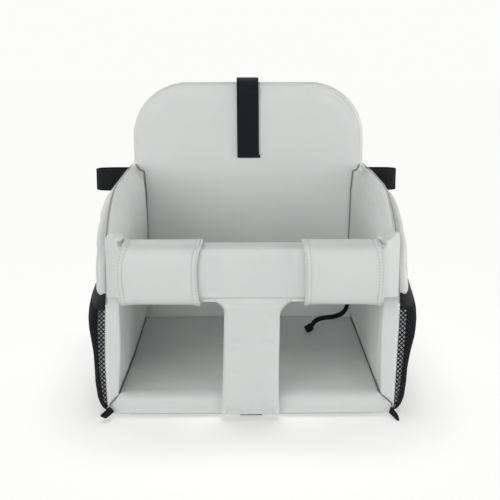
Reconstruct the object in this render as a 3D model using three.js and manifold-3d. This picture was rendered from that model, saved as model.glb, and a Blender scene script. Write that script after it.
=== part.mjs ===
// Chair booster seat: a padded seat, back and two side pads that fold flat, a soft guard with a
// crotch pad in front of the child, two cuffs that hold the guard's bar, net pockets and black webbing.
// Millimetres, +Z up. The child faces -Y. The origin is the middle of the underside, on the table.
import * as THREE from 'three';
import { mergeVertices, mergeGeometries } from 'three/addons/utils/BufferGeometryUtils.js';
import Module from 'manifold-3d';

const wasm = await Module();
wasm.setup();

// Fits
const touch = 0.3; // gap between pieces that lie against each other
const cutOverrun = 2; // how far a cut runs past the face it opens
const foamFit = 0.4; // room round a foam inside its cover

// Seat pad
const seatInnerHalf = 145; // middle to the crease at each side pad
const seatFront = 154; // middle to the crest of the front edge
const seatRear = 153.5; // middle to the back pad
const seatTop = 26; // crease height above the table
const seatCrown = 2.2; // swell of the middle over the crease
const seatFrontBulge = 3.6; // how far the front face stands past the crest
const seatFlare = 12.2; // how far the seat spreads under the side pads
const seatFoamHeight = 14;
const seatBoardThickness = 3;
const seatWall = 3; // cover and wadding under and round the foam
const matThickness = 1.5;
const matInset = 7; // mat edge inside the seat's edge
const baseStrapEnd = 38; // middle to the sewn end of the strap under the front half
const seatSeamHeight = 8; // height of the seam along the front face
const seatCorner = 7;
const seatRearCorner = 5;
const seatNose = seatFront + seatFrontBulge; // middle to the front face

// Side pads
const sideThickness = 14.7;
const sideFrontOverhang = 2; // how far the front edge stands past the seat's crest
const sideRearShort = 0.7; // the rear edge ends short of the seat's, clear of the back pad's swell
const sideFront = seatFront + sideFrontOverhang;
const sideRear = seatRear - sideRearShort;
const sideTop = 237;
const sideEdgeRound = 12; // rounding from the outer seam to the inner face
const sideStraightTop = 150; // where the front edge starts to lean back
const sideShoulderRun = 96; // length of the curved shoulder along the top
const sideInnerCrown = 1;
const mitreRun = 13.2; // width of the sloped joint between seat and side
const mitreDrop = 19; // height of the same joint
const sideFoamThickness = 6.4;
const sideBoardThickness = 2;
const sideCoreInset = 16; // foam and board edge inside the cover's edge

// Outer pad of each side, above its pocket
const wingThickness = 9;
const wingLow = 143;
const wingInset = 1.5;
const wingRearShort = 4.8; // wing's rear edge inside the side pad's
const wingRear = sideRear - wingRearShort;
const wingCrown = 1;
const wingRound = 5;

// Net pocket outside each side pad
const pocketFrontShort = 4; // pocket's front edge inside the side pad's
const pocketRearShort = 40.8;
const pocketFront = sideFront - pocketFrontShort;
const pocketRear = sideRear - pocketRearShort;
const pocketLow = 6;
const pocketNetTop = 124;
const pocketTop = 141;
const pocketWall = 1.4;
const pocketBulgeTop = 20;
const pocketBulgeMiddle = 24;
const pocketBulgeLow = 19.5;
const pocketBulgeFoot = 1.6;
const netHole = 8; // diamond hole across its corners
const netColumns = 8;
const netRows = 7;
const netFrontColumns = 2;

// Back pad
const backOverhang = 12; // how far the back pad reaches past the seat's creases
const backHalf = seatInnerHalf + backOverhang;
const backTop = 354;
const backLow = 1.5;
const backFit = 0.8; // from the seat's rear edge to the back pad's face
const backFront = seatRear + backFit;
const backThickness = 24;
const backCorner = 55;
const backFootCorner = 12;
const backEdgeRound = 7;
const backCrown = 1.2;
const backFoamThickness = 12;
const backBoardThickness = 3;
const backWall = 3.2;
const backHeel = 0.68; // share of the thickness where the pad stands on its heel and leans back

// Guard: bar, crotch pad and end tabs
const barShort = 3; // the bar ends this far inside the seat's creases
const barDepth = 27;
const barAhead = 9; // from the seat's crest to the bar's rear face
const barHalf = seatInnerHalf - barShort;
const barRear = seatFront + barAhead;
const barFront = barRear + barDepth;
const barTop = 201.3;
const barLow = 147.2;
const barRound = 8;
const barCrown = 1.2;
const barFoamFront = 14;
const barBoardThickness = 2.5;
const barWall = 2.6;
const crotchHalf = 30.7;
const crotchTopHalf = 42;
const crotchFootHalf = 38;
const crotchThickness = 14;
const crotchLean = 15; // how far the pad leans forward from its foot to the bar
const crotchFoot = 6;
const crotchFlareStart = 118; // height where the pad starts to widen under the bar
const crotchRound = 5.5;
const crotchWall = 2.4;
const guardFoldIn = 3; // fold line behind the crotch pad's front face, at its foot
const crotchRear = seatNose + touch;
const crotchFront = crotchRear + crotchThickness;
const tabShort = 1.6; // the tab ends this far inside the side pad's outer seam
const tabOuterHalf = seatInnerHalf + touch + sideThickness - tabShort;
const tabFlare = 5.5; // growth of the tab's height towards the side pad
const tabRear = sideFront + touch;
const tabThickness = 24;
const tabRound = 6;

// Cuffs round the bar
const cuffInner = 57; // middle to the cuff's inner edge
const cuffOuter = barHalf - touch;
const cuffBaseThickness = 2.2;
const cuffFlapThickness = 3.5;
const cuffBulge = 4.4; // how far the flap's front bows out
const cuffPatchThickness = 0.8;
const cuffPatchMargin = 8; // patch edge inside the cuff's edge
const cuffLipLength = 17; // depth of the flap's lip under the bar

// Webbing
const webWidth = 30;
const webThickness = 1.8;
const narrowWebWidth = 25;
const narrowWebThickness = 1.2;
const topStrapFrontHang = 102; // from the back pad's top down to the strap's end in front
const topStrapRearHang = 118; // and behind
const topStrapFrontEnd = backTop - topStrapFrontHang;
const topStrapRearEnd = backTop - topStrapRearHang;
const topStrapArch = 10.4; // rise of the strap over the back pad's top edge
const topStrapShoulder = 7; // below the back pad's top, where the strap starts to arch
const topStrapStart = backTop - topStrapShoulder;
const frontStandOff = 1.5; // strap hangs this far off the back pad's front
const rearStandOff = 3; // and this far off its rear, for the slider
const beltHeight = 216.7; // middle of the chair belt
const beltLoop = 51; // how far each belt's fold stands out past the back pad
const beltReach = backHalf + beltLoop; // middle to the fold of each belt
const beltSewnIn = 104; // middle to the belt's sewn end
const beltSpread = 23; // from the near band to the far band
const tailWidth = 6;
const tailThickness = 2;
const tailEndLength = 13;
const tailEndWidth = 10;
const tailEndThickness = 4;

// Hardware
const buckleWidth = 38;
const buckleThickness = 11;
const socketLength = 40;
const plugBaseLength = 20;
const prongLength = 22;
const prongWidth = 7;
const prongThickness = 4;
const prongPitch = 18;
const prongFit = 0.5;
const sliderWall = 3.5;
const sliderLength = 26;
const sliderFit = 0.5;
const beltSliderPlace = 110; // middle to the slider on the left belt
const strapSliderHang = 54; // from the back pad's top down to the slider on the top strap
const strapSliderPlace = backTop - strapSliderHang;

// Corner tabs
const cornerTabLength = 12;
const cornerTabWidth = 9;
const cornerTabThickness = 3;
const cornerTabOut = 9.8; // from the seat's crease out to the tab's root
const cornerTabPlace = seatInnerHalf + cornerTabOut;
const cornerTabLean = 0.9; // radians that the tab leans out from straight down
const cornerTabRise = 11.8; // height of the tab's root

// How finely curves are cut
const cornerSteps = 4;
const edgeSteps = 3;
const shoulderSteps = 9;
const pocketSteps = 14;

// Colours and gloss of the finished pieces.
function finish(color, roughness, metalness = 0) {
  return new THREE.MeshStandardMaterial({ color, roughness, metalness });
}
const coatedFabric = finish('#d3d5d3', 0.5);
const foam = finish('#e6dfc4', 0.9);
const board = finish('#8d9093', 0.6);
const rubberMat = finish('#2a2b2d', 0.85);
const webbing = finish('#17181a', 0.75);
const netting = finish('#1b1c1e', 0.7);
const binding = finish('#202123', 0.8);
const hookTape = finish('#c6c8c7', 0.9);
const hardware = finish('#141517', 0.4);

// Makes a closed solid whose faces point outwards from shared points and triangles.
function closed(points, triangles) {
  let volume = 0;
  const corner = (i) => new THREE.Vector3(...points[i]);
  for (const [a, b, c] of triangles) volume += corner(a).dot(corner(b).cross(corner(c)));
  const order = volume < 0 ? triangles.map(([a, b, c]) => [a, c, b]) : triangles;
  const geometry = new THREE.BufferGeometry();
  geometry.setAttribute('position', new THREE.Float32BufferAttribute(points.flat(), 3));
  geometry.setIndex(order.flat());
  return geometry;
}

// Skins a row of rings, each with as many points, and closes both ends with a fan.
function loft(rings) {
  const count = rings[0].length;
  const points = rings.flat();
  const triangles = [];
  for (let r = 0; r + 1 < rings.length; r++) {
    for (let i = 0; i < count; i++) {
      const a = r * count + i;
      const b = r * count + ((i + 1) % count);
      triangles.push([a, b, b + count], [a, b + count, a + count]);
    }
  }
  const middle = (ring) => [0, 1, 2].map((k) => ring.reduce((sum, p) => sum + p[k], 0) / count);
  const first = points.push(middle(rings[0])) - 1;
  const last = points.push(middle(rings.at(-1))) - 1;
  const end = (rings.length - 1) * count;
  for (let i = 0; i < count; i++) {
    const next = (i + 1) % count;
    triangles.push([first, next, i], [last, end + i, end + next]);
  }
  return closed(points, triangles);
}

// A ring drawn in towards its own middle, for a crowned face.
function drawnIn(ring, share, shift) {
  const middle = [0, 1, 2].map((k) => ring.reduce((sum, p) => sum + p[k], 0) / ring.length);
  return ring.map((p) => p.map((v, k) => middle[k] + (v - middle[k]) * share + shift[k]));
}

// Outline of a rectangle with its own radius at each corner, anticlockwise from the lower left.
function roundedRect(left, right, low, high, radii) {
  const corners = [
    [left, low, 1, 1, Math.PI],
    [right, low, -1, 1, 1.5 * Math.PI],
    [right, high, -1, -1, 0],
    [left, high, 1, -1, 0.5 * Math.PI],
  ];
  const arcs = corners.map(([x, y, inX, inY, start], k) => {
    const radius = radii[k % radii.length];
    return Array.from({ length: cornerSteps + 1 }, (_, i) => {
      const angle = start + (i / cornerSteps) * 0.5 * Math.PI;
      const centre = [x + inX * radius, y + inY * radius];
      return [centre[0] + radius * Math.cos(angle), centre[1] + radius * Math.sin(angle)];
    });
  });
  return arcs.flatMap((arc, k) => [...arc, ...between(arc.at(-1), arcs[(k + 1) % 4][0])]);
}

// Points that share out a straight edge.
function between(a, b) {
  return Array.from({ length: edgeSteps - 1 }, (_, i) => {
    const share = (i + 1) / edgeSteps;
    return a.map((v, k) => v + (b[k] - v) * share);
  });
}

const onXY = (outline, z) => outline.map(([x, y]) => [x, y, z]);
const onXZ = (outline, y) => outline.map(([x, z]) => [x, y, z]);
const onYZ = (outline, x) => outline.map(([y, z]) => [x, y, z]);

const axes = () => [0, 1, 2].map((k) => new THREE.Vector3().setComponent(k, 1));

// A flat outline made thick between two places along x, y or z.
function prism(outline, from, to, axis) {
  const shape = new THREE.Shape(outline.map(([a, b]) => new THREE.Vector2(a, b)));
  const geometry = new THREE.ExtrudeGeometry(shape, { depth: to - from, bevelEnabled: false });
  const [x, y, z] = axes();
  const turn = new THREE.Matrix4();
  if (axis === 'x') turn.makeBasis(y, z, x).setPosition(from, 0, 0);
  if (axis === 'y') turn.makeBasis(x, z, y.clone().negate()).setPosition(0, to, 0);
  if (axis === 'z') turn.makeBasis(x, y, z).setPosition(0, 0, from);
  return geometry.applyMatrix4(turn);
}

function block(x0, x1, y0, y1, z0, z1) {
  const geometry = new THREE.BoxGeometry(x1 - x0, y1 - y0, z1 - z0);
  return geometry.translate((x0 + x1) / 2, (y0 + y1) / 2, (z0 + z1) / 2);
}

// The outline of a strip of even thickness along a line of points; a round start turns about its end.
function strip(points, thickness, roundStart = false) {
  const half = thickness / 2;
  const path = points.map(([a, b]) => new THREE.Vector2(a, b));
  const normals = path.map((p, i) => {
    const before = path[Math.max(i - 1, 0)];
    const after = path[Math.min(i + 1, path.length - 1)];
    const run = after.clone().sub(before).normalize();
    return new THREE.Vector2(-run.y, run.x);
  });
  const off = (p, i, reach) => [p.x + normals[i].x * reach, p.y + normals[i].y * reach];
  const side = (sign) => path.map((p, i) => off(p, i, half * sign));
  const cap = [];
  if (roundStart) {
    const start = Math.atan2(-normals[0].y, -normals[0].x);
    for (let i = 1; i < 2 * cornerSteps; i++) {
      const angle = start - (i / (2 * cornerSteps)) * Math.PI;
      cap.push([path[0].x + half * Math.cos(angle), path[0].y + half * Math.sin(angle)]);
    }
  }
  return [...side(1).reverse(), ...cap.reverse(), ...side(-1)];
}

// Joining and cutting
function solid(geometry) {
  const bare = geometry.clone();
  bare.deleteAttribute('normal');
  bare.deleteAttribute('uv');
  const merged = mergeVertices(bare, touch / 300);
  const vertProperties = merged.attributes.position.array;
  const triVerts = new Uint32Array(merged.index.array);
  return new wasm.Manifold(new wasm.Mesh({ numProp: 3, vertProperties, triVerts }));
}

function geometryOf(manifold) {
  const mesh = manifold.getMesh();
  const geometry = new THREE.BufferGeometry();
  geometry.setAttribute('position', new THREE.BufferAttribute(mesh.vertProperties, 3));
  geometry.setIndex(new THREE.BufferAttribute(mesh.triVerts, 1));
  return geometry;
}

function cut(geometry, ...cutters) {
  return geometryOf(cutters.reduce((left, cutter) => left.subtract(solid(cutter)), solid(geometry)));
}

function join(...geometries) {
  return geometryOf(geometries.map(solid).reduce((left, right) => left.add(right)));
}

// The right-hand twin of a left-hand shape.
function mirrored(geometry) {
  const twin = geometry.clone().scale(-1, 1, 1);
  if (!twin.index) twin.setIndex([...Array(twin.attributes.position.count).keys()]);
  const order = twin.index.array;
  for (let i = 0; i < order.length; i += 3) [order[i + 1], order[i + 2]] = [order[i + 2], order[i + 1]];
  return twin;
}

function piece(name, geometry, material) {
  geometry.deleteAttribute('normal');
  const mesh = new THREE.Mesh(geometry, material);
  mesh.geometry.computeVertexNormals();
  mesh.name = name;
  return mesh;
}

// Seat pad
function seatOutline(half, front, rear) {
  return roundedRect(-half, half, -front, rear, [seatCorner, seatCorner, seatRearCorner, seatRearCorner]);
}

function makeSeatCover() {
  const floor = matThickness + touch;
  const wide = seatInnerHalf + seatFlare;
  const levels = [
    // height, half-width, front edge
    [floor, wide - seatWall, seatFront],
    [seatSeamHeight, wide, seatNose],
    [seatTop - seatFlare + seatCrown, wide - seatFlare / 2, seatNose],
    [seatTop - seatWall, seatInnerHalf + seatWall / 2, seatFront + seatFrontBulge / 2],
    [seatTop, seatInnerHalf - seatWall / 2, seatFront - seatFrontBulge],
  ];
  const rings = levels.map(([z, half, front]) => onXY(seatOutline(half, front, seatRear), z));
  const crownShares = [[0.8, 0.5], [0.45, 0.86]];
  const crown = crownShares.map(([share, rise]) => drawnIn(rings.at(-1), share, [0, 0, seatCrown * rise]));
  crown.push(drawnIn(rings.at(-1), touch / seatFront, [0, 0, seatCrown]));
  const low = floor + seatWall;
  const half = seatInnerHalf - seatWall;
  const high = low + seatBoardThickness + seatFoamHeight + 3 * foamFit;
  const front = seatFront - 2 * seatWall;
  const cavity = prism(seatOutline(half, front, seatRear - seatWall), low, high, 'z');
  const zipHalf = seatInnerHalf * 0.8;
  const zipLow = low + seatWall;
  const zipFront = seatRear - 2 * seatWall;
  const zip = block(-zipHalf, zipHalf, zipFront, seatRear + cutOverrun, zipLow, zipLow + seatWall);
  return cut(loft([...rings, ...crown]), cavity, zip);
}

function makeSeatCore(low, thickness) {
  const front = seatFront - 2 * seatWall - foamFit;
  const outline = seatOutline(seatInnerHalf - seatWall - foamFit, front, seatRear - seatWall - foamFit);
  return prism(outline, low, low + thickness, 'z');
}

const seatBoardLow = matThickness + touch + seatWall + foamFit;
const seatFoamLow = seatBoardLow + seatBoardThickness + foamFit;

function makeMat() {
  const half = seatInnerHalf - matInset / 2;
  const front = seatFront - matInset / 2;
  const plate = prism(seatOutline(half, front, seatRear - matInset), 0, matThickness, 'z');
  const slot = narrowWebWidth / 2 + foamFit;
  const rear = -baseStrapEnd + foamFit;
  const channel = block(-slot, slot, -seatFront - cutOverrun, rear, -cutOverrun, matThickness + cutOverrun);
  return cut(plate, channel);
}

// Webbing strip let into the mat; its front end turns up at the seat's front edge.
function makeBaseStrap() {
  const middle = matThickness / 2;
  const bend = seatNose - narrowWebThickness;
  const path = [
    [-baseStrapEnd, middle],
    [-bend + narrowWebThickness, middle],
    [-bend - narrowWebThickness / 2, middle + narrowWebThickness / 2],
    [-bend - 2 * narrowWebThickness, middle + 2 * narrowWebThickness],
  ];
  return prism(strip(path, narrowWebThickness), -narrowWebWidth / 2, narrowWebWidth / 2, 'x');
}

// Side pads, drawn for the left and mirrored for the right. The outline runs in y and z.
function sideOutline(inset, low, rear = sideRear, high = sideTop) {
  const front = -sideFront + inset;
  const top = high - inset;
  const bend = Math.max(sideStraightTop, low + wingRound);
  const shoulder = new THREE.CubicBezierCurve(
    new THREE.Vector2(front, bend),
    new THREE.Vector2(front + sideEdgeRound / 3, bend + (top - bend) * 0.62),
    new THREE.Vector2(front + sideShoulderRun * 0.375, top),
    new THREE.Vector2(front + sideShoulderRun, top),
  );
  const curve = shoulder.getPoints(shoulderSteps).map((p) => [p.x, p.y]);
  const footFront = [front, low];
  const footRear = [rear, low];
  const topRear = [rear, top];
  return [
    footRear,
    ...between(footRear, footFront),
    footFront,
    ...between(footFront, curve[0]),
    ...curve,
    ...between(curve.at(-1), topRear),
    topRear,
    ...between(topRear, footRear),
  ];
}

const sideInner = seatInnerHalf + touch;
const sideOuter = sideInner + sideThickness;
const mitreStart = seatTop + touch / 3;

function mitreLow(depth) {
  return Math.max(mitreStart - (depth * mitreDrop) / mitreRun, seatTop - mitreDrop);
}

function makeSideCover() {
  const layers = [
    // share of the thickness, share of the rounding still to go
    [0, 1],
    [0.09, 0.62],
    [0.28, 0.3],
    [0.58, 0.07],
    [0.9, 0],
    [1, 0],
  ];
  const ring = ([deep, round]) => {
    const depth = deep * sideThickness;
    const rise = round * sideEdgeRound * 0.2;
    return onYZ(sideOutline(round * sideEdgeRound, mitreLow(depth) + rise), -(sideInner + depth));
  };
  const rings = layers.map(ring);
  const crown = drawnIn(rings[0], 0.6, [sideInnerCrown * 0.7, 0, 0]);
  const core = sideCore();
  const [outer, inner] = [-core.outer, -core.inner];
  const rear = sideRear - sideBoardThickness;
  const outline = sideOutline(sideCoreInset - foamFit, sideCoreLow - foamFit, rear);
  const cavity = prism(outline, outer, inner, 'x');
  const low = sideCoreLow + sideCoreInset;
  const high = sideTop / 2 + sideCoreInset;
  const zip = block(outer + foamFit, inner - foamFit, rear - cutOverrun, sideRear + cutOverrun, low, high);
  return cut(loft([crown, ...rings]), cavity, zip);
}

const sideCoreLow = seatTop + sideBoardThickness + foamFit;
function sideCore() {
  const inner = sideInner + (sideThickness - sideFoamThickness - sideBoardThickness - 3 * foamFit) / 2;
  const outer = inner + sideFoamThickness + sideBoardThickness + 3 * foamFit;
  return { inner, outer };
}

function makeSideSheet(start, thickness) {
  const rear = sideRear - sideBoardThickness - foamFit;
  return prism(sideOutline(sideCoreInset, sideCoreLow, rear), -start - thickness, -start, 'x');
}

const sideFoamStart = sideCore().inner + foamFit;
const sideBoardStart = sideFoamStart + sideFoamThickness + foamFit;

// Outer pad, filled with wadding, closed against the side pad all round.
function makeWing() {
  const start = sideOuter + touch;
  const layers = [
    [0, 0.2],
    [0.2, 0],
    [0.55, 0],
    [0.85, 0.45],
    [1, 1],
  ];
  const rings = layers.map(([deep, round]) => {
    const inset = wingInset + round * wingRound;
    const shrink = round * wingRound;
    return onYZ(sideOutline(inset, wingLow + shrink, wingRear - shrink), -(start + deep * wingThickness));
  });
  const crown = drawnIn(rings.at(-1), 0.6, [-wingCrown * 0.8, 0, 0]);
  return loft([...rings, crown]);
}

// Pocket: a bulged sheet whose plan is half a rounded box and whose bulge changes with height.
function pocketBulge(z) {
  const heights = [pocketLow, ...[0.14, 0.5, 0.78].map((share) => pocketTop * share), pocketTop];
  const bulges = [pocketBulgeFoot, pocketBulgeLow * 0.72, pocketBulgeLow, pocketBulgeMiddle, pocketBulgeTop];
  const k = Math.min(heights.findIndex((h) => z <= h + touch), heights.length - 1);
  if (k <= 0) return bulges[0];
  const share = (z - heights[k - 1]) / (heights[k] - heights[k - 1]);
  return bulges[k - 1] + (bulges[k] - bulges[k - 1]) * share;
}

function pocketLine(z, inward) {
  const root = sideOuter + touch;
  const half = (pocketFront + pocketRear) / 2 - inward;
  const middle = (pocketRear - pocketFront) / 2;
  const bulge = pocketBulge(z) - inward;
  const boxiness = 0.42;
  return Array.from({ length: pocketSteps + 1 }, (_, i) => {
    const angle = Math.PI * (i / pocketSteps);
    const along = Math.sign(Math.cos(angle)) * Math.abs(Math.cos(angle)) ** boxiness;
    const out = Math.abs(Math.sin(angle)) ** boxiness;
    const end = i === 0 || i === pocketSteps;
    return [-(root + (end ? 0 : bulge * out)), middle - half * along, z];
  });
}

function pocketSheet(heights) {
  const rings = heights.map((z) => {
    const wall = Math.min(pocketWall, pocketBulge(z) * 0.8);
    return [...pocketLine(z, 0), ...pocketLine(z, wall).reverse()];
  });
  const count = rings[0].length;
  const points = rings.flat();
  const triangles = [];
  for (let r = 0; r + 1 < rings.length; r++) {
    for (let i = 0; i < count; i++) {
      const a = r * count + i;
      const b = r * count + ((i + 1) % count);
      triangles.push([a, b, b + count], [a, b + count, a + count]);
    }
  }
  const end = (rings.length - 1) * count;
  for (let i = 0; i < pocketSteps; i++) {
    const [a, b, c, d] = [i, i + 1, count - 2 - i, count - 1 - i];
    triangles.push([a, c, b], [a, d, c]);
    triangles.push([end + a, end + b, end + c], [end + a, end + c, end + d]);
  }
  return closed(points, triangles);
}

function diamond(a, b) {
  const half = netHole / 2;
  return [[a + half * 0.62, b], [a, b + half], [a - half * 0.62, b], [a, b - half]];
}

function makeNet() {
  const heightShares = [0.14, 0.32, 0.5, 0.65, 0.78];
  const heights = [pocketLow, ...heightShares.map((share) => pocketTop * share), pocketNetTop];
  const sheet = pocketSheet(heights);
  const low = pocketLow + netHole * 2.2;
  const rise = (pocketNetTop - netHole - low) / (netRows - 1);
  const first = -pocketFront + netHole * 3;
  const step = (pocketRear + pocketFront - netHole * 6) / (netColumns - 1);
  const root = sideOuter + touch;
  const holes = [];
  for (let row = 0; row < netRows; row++) {
    const shift = (row % 2) * 0.5;
    for (let column = 0; column + shift <= netColumns - 1; column++) {
      const spot = diamond(first + (column + shift) * step, low + row * rise);
      holes.push(prism(spot, -root - 2 * pocketBulgeMiddle, -root - netHole * 0.6, 'x'));
    }
    for (let column = 0; column < netFrontColumns; column++) {
      const spot = diamond(-root - netHole * (0.62 + 0.85 * column), low + row * rise - shift * rise * 0.3);
      holes.push(prism(spot, -pocketFront - cutOverrun, -pocketFront + netHole, 'y'));
    }
  }
  return cut(sheet, mergeGeometries(holes));
}

function makePocketBand() {
  const low = pocketNetTop + touch;
  return pocketSheet([low, (low + pocketTop) / 2, pocketTop]);
}

// Back pad
function backOutline(inset, low = backLow) {
  const corner = Math.max(backCorner - inset, backFootCorner);
  return roundedRect(-backHalf + inset, backHalf - inset, low + inset / 2, backTop - inset,
    [backFootCorner, backFootCorner, corner, corner]);
}

function makeBackCover() {
  const layers = [
    // share of the thickness, share of the rounding
    [0, 1],
    [0.07, 0.45],
    [0.2, 0.1],
    [0.4, 0],
    [backHeel, 0],
    [0.88, 0.25],
    [1, 1],
  ];
  const ring = ([deep, round]) => onXZ(backOutline(round * backEdgeRound), backFront + deep * backThickness);
  const rings = layers.map(ring);
  const front = drawnIn(rings[0], 0.72, [0, -backCrown * 0.75, 0]);
  const frontMiddle = drawnIn(rings[0], 0.3, [0, -backCrown, 0]);
  const low = backCoreStart - foamFit;
  const high = backBoardStart + backBoardThickness + foamFit;
  const cavity = prism(backOutline(2 * backWall + backEdgeRound - foamFit), low, high, 'y');
  const zipHalf = backHalf * 0.75;
  const zipFront = low + backWall;
  const zipTop = backLow + 4 * backWall;
  const zip = block(-zipHalf, zipHalf, zipFront, zipFront + backWall, backLow - cutOverrun, zipTop);
  return cut(loft([frontMiddle, front, ...rings]), cavity, zip);
}

const backCoreStart = backFront + (backThickness - backFoamThickness - backBoardThickness - foamFit) / 2;
const backBoardStart = backCoreStart + backFoamThickness + foamFit;

function makeBackSheet(start, thickness) {
  return prism(backOutline(2 * backWall + backEdgeRound), start, start + thickness, 'y');
}

// Guard
function barOutline(grow) {
  return roundedRect(-barFront - grow, -barRear, barLow - grow, barTop, [barRound]);
}

function makeBarCover() {
  const places = [
    // distance from the middle, share of the crown, inset at the ends
    [0, 1],
    [cuffInner * 0.8, 1],
    [cuffInner, 0],
    [barHalf - barWall, 0],
  ];
  const half = places.map(([x, share]) => onYZ(barOutline(barCrown * share), x));
  const end = drawnIn(half.at(-1), 0.9, [barWall, 0, 0]);
  const right = [...half, end];
  const left = right.slice(1).reverse().map((ring) => ring.map(([x, y, z]) => [-x, y, z]));
  const inside = barHalf - 3 * barWall;
  const cavity = prism(barCore(0), -inside, inside, 'x');
  const zipHalf = inside * 0.8;
  const zipLow = barLow + barRound;
  const zipFront = -barRear - 2 * barWall;
  const zip = block(-zipHalf, zipHalf, zipFront, -barRear + cutOverrun, zipLow, zipLow + barWall);
  return cut(loft([...left, ...right]), cavity, zip);
}

function barCore(inset) {
  const wall = barWall + inset;
  return roundedRect(-barFront + wall, -barRear - wall, barLow + wall, barTop - wall, [barRound - barWall]);
}

// The bar's foam lies in front of its stiff strip and is rounded only in front.
function makeBarInsert(front, rear, frontRound) {
  const half = barHalf - 3 * barWall - foamFit;
  const low = barLow + barWall + foamFit;
  const high = barTop - barWall - foamFit;
  const rearRound = barBoardThickness / 5;
  const outline = roundedRect(front, rear, low, high, [frontRound, rearRound, rearRound, frontRound]);
  return prism(outline, -half, half, 'x');
}

const crotchTop = barLow - barCrown - touch;

// How far the pad has leaned forward at a height.
const crotchShift = (z) => (-crotchLean * (z - crotchFoot)) / (crotchTop - crotchFoot);

function crotchRing(half, z, draw = 0, round = crotchRound) {
  const front = -crotchFront + draw + crotchShift(z);
  return onXY(roundedRect(-half, half, front, -crotchRear - draw + crotchShift(z), [round]), z);
}

function makeCrotchCover() {
  const flare = crotchTop - crotchFlareStart;
  const flared = (share) => crotchHalf + (crotchTopHalf - crotchHalf) * share;
  const rings = [
    crotchRing(crotchFootHalf - crotchRound, crotchFoot, crotchRound / 3),
    crotchRing(crotchFootHalf, crotchFoot + crotchRound / 2),
    crotchRing(crotchFootHalf - crotchRound / 3, crotchFoot + crotchRound),
    crotchRing(crotchHalf + crotchRound / 5, crotchFoot + 3 * crotchRound),
    crotchRing(crotchHalf, crotchFoot + 8 * crotchRound),
    crotchRing(crotchHalf, crotchFlareStart - flare),
    crotchRing(flared(0.1), crotchFlareStart),
    crotchRing(flared(0.45), crotchFlareStart + flare * 0.5),
    crotchRing(flared(0.95), crotchFlareStart + flare * 0.82),
    crotchRing(crotchTopHalf, crotchTop),
  ];
  const wall = crotchWall + foamFit;
  const cavity = makeCrotchCore(foamFit);
  const low = crotchCoreLow + crotchWall;
  const slotHalf = crotchHalf / 2;
  const rear = -crotchRear + crotchShift(low);
  const slot = block(-slotHalf, slotHalf, rear - 2 * wall, rear + cutOverrun, low, low + crotchWall);
  return cut(loft(rings), cavity, slot);
}

const crotchCoreLow = crotchFoot + 2 * crotchRound;

// The foam, or with room round it the hollow that holds it.
function makeCrotchCore(room) {
  const wall = crotchWall + foamFit - room;
  const ring = (z) => crotchRing(crotchHalf - wall, z, wall, crotchWall);
  return loft([ring(crotchCoreLow - room), ring(crotchTop - crotchWall - foamFit + room)]);
}

// End tab: the bar's stitched end, puffed up where it meets the side pad's front seam.
function makeEndTab() {
  const start = barHalf + touch;
  const end = tabOuterHalf;
  const stations = [
    // share of the length, share of the flare
    [0, 0],
    [0.35, 0.25],
    [0.75, 1],
    [1, 0.7],
  ];
  const rings = stations.map(([along, flare]) => {
    const grow = flare * tabFlare;
    const front = -tabRear - tabThickness - grow / 2;
    const outline = roundedRect(front, -tabRear, barLow - grow, barTop + grow, [tabRound]);
    return onYZ(outline, -(start + (end - start) * along));
  });
  return loft(rings);
}

// Cuffs: a sewn base over the bar's top and rear, and a flap over its front that closes underneath.
const cuffHingeY = -barFront - cuffFlapThickness / 2 - 1.5 * touch;
const cuffHingeZ = barTop + 2 * touch + cuffFlapThickness / 2;
const cuffBaseOut = touch * 2 + cuffBaseThickness / 2; // base middle line outside the bar

function makeCuffBase() {
  const top = barTop + cuffBaseOut;
  const rear = -barRear + cuffBaseOut;
  const low = barLow - barCrown - cuffBaseOut + touch;
  const round = barRound;
  const arc = (centreY, centreZ, from, to) => Array.from({ length: cornerSteps + 1 }, (_, i) => {
    const angle = from + ((to - from) * i) / cornerSteps;
    return [centreY + round * Math.cos(angle), centreZ + round * Math.sin(angle)];
  });
  const path = [
    [cuffHingeY + cuffFlapThickness / 2 + touch, top],
    ...arc(rear - round, top - round, 0.5 * Math.PI, 0),
    ...arc(rear - round, low + round, 0, -0.5 * Math.PI),
    [-barRear - cuffLipLength, low],
  ];
  return prism(strip(path, cuffBaseThickness), -cuffOuter, -cuffInner, 'x');
}

function cuffPatch(top) {
  const rear = -barRear - cuffPatchMargin * 0.4;
  const front = -barRear - cuffLipLength + cuffPatchMargin * 0.2;
  const [outer, inner] = [-cuffOuter + cuffPatchMargin, -cuffInner - cuffPatchMargin];
  return block(outer, inner, front, rear, top - cuffPatchThickness, top);
}

const loopTop = barLow - barCrown - 2 * cuffBaseOut + touch - touch / 3;
const hookTop = loopTop - cuffPatchThickness - touch;
const lipMiddle = hookTop - cuffPatchThickness - touch - cuffFlapThickness / 2;

function makeCuffFlap() {
  const high = cuffHingeZ - barRound;
  const low = lipMiddle + barRound;
  const bow = Array.from({ length: shoulderSteps + 1 }, (_, i) => {
    const share = i / shoulderSteps;
    return [cuffHingeY - cuffBulge * Math.sin(Math.PI * share) ** 0.7, high + (low - high) * share];
  });
  const turn = Array.from({ length: cornerSteps }, (_, i) => {
    const angle = Math.PI + ((i + 1) / cornerSteps) * 0.5 * Math.PI;
    return [cuffHingeY + barRound + barRound * Math.cos(angle), low + barRound * Math.sin(angle)];
  });
  const path = [[cuffHingeY, cuffHingeZ], ...bow, ...turn, [-barRear - cuffPatchMargin * 0.3, lipMiddle]];
  return prism(strip(path, cuffFlapThickness, true), -cuffOuter, -cuffInner, 'x');
}

// Top strap: over the back pad's top edge, with its hemmed end hanging in front.
const strapRear = backFront + backThickness + rearStandOff + webThickness / 2;

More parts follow.
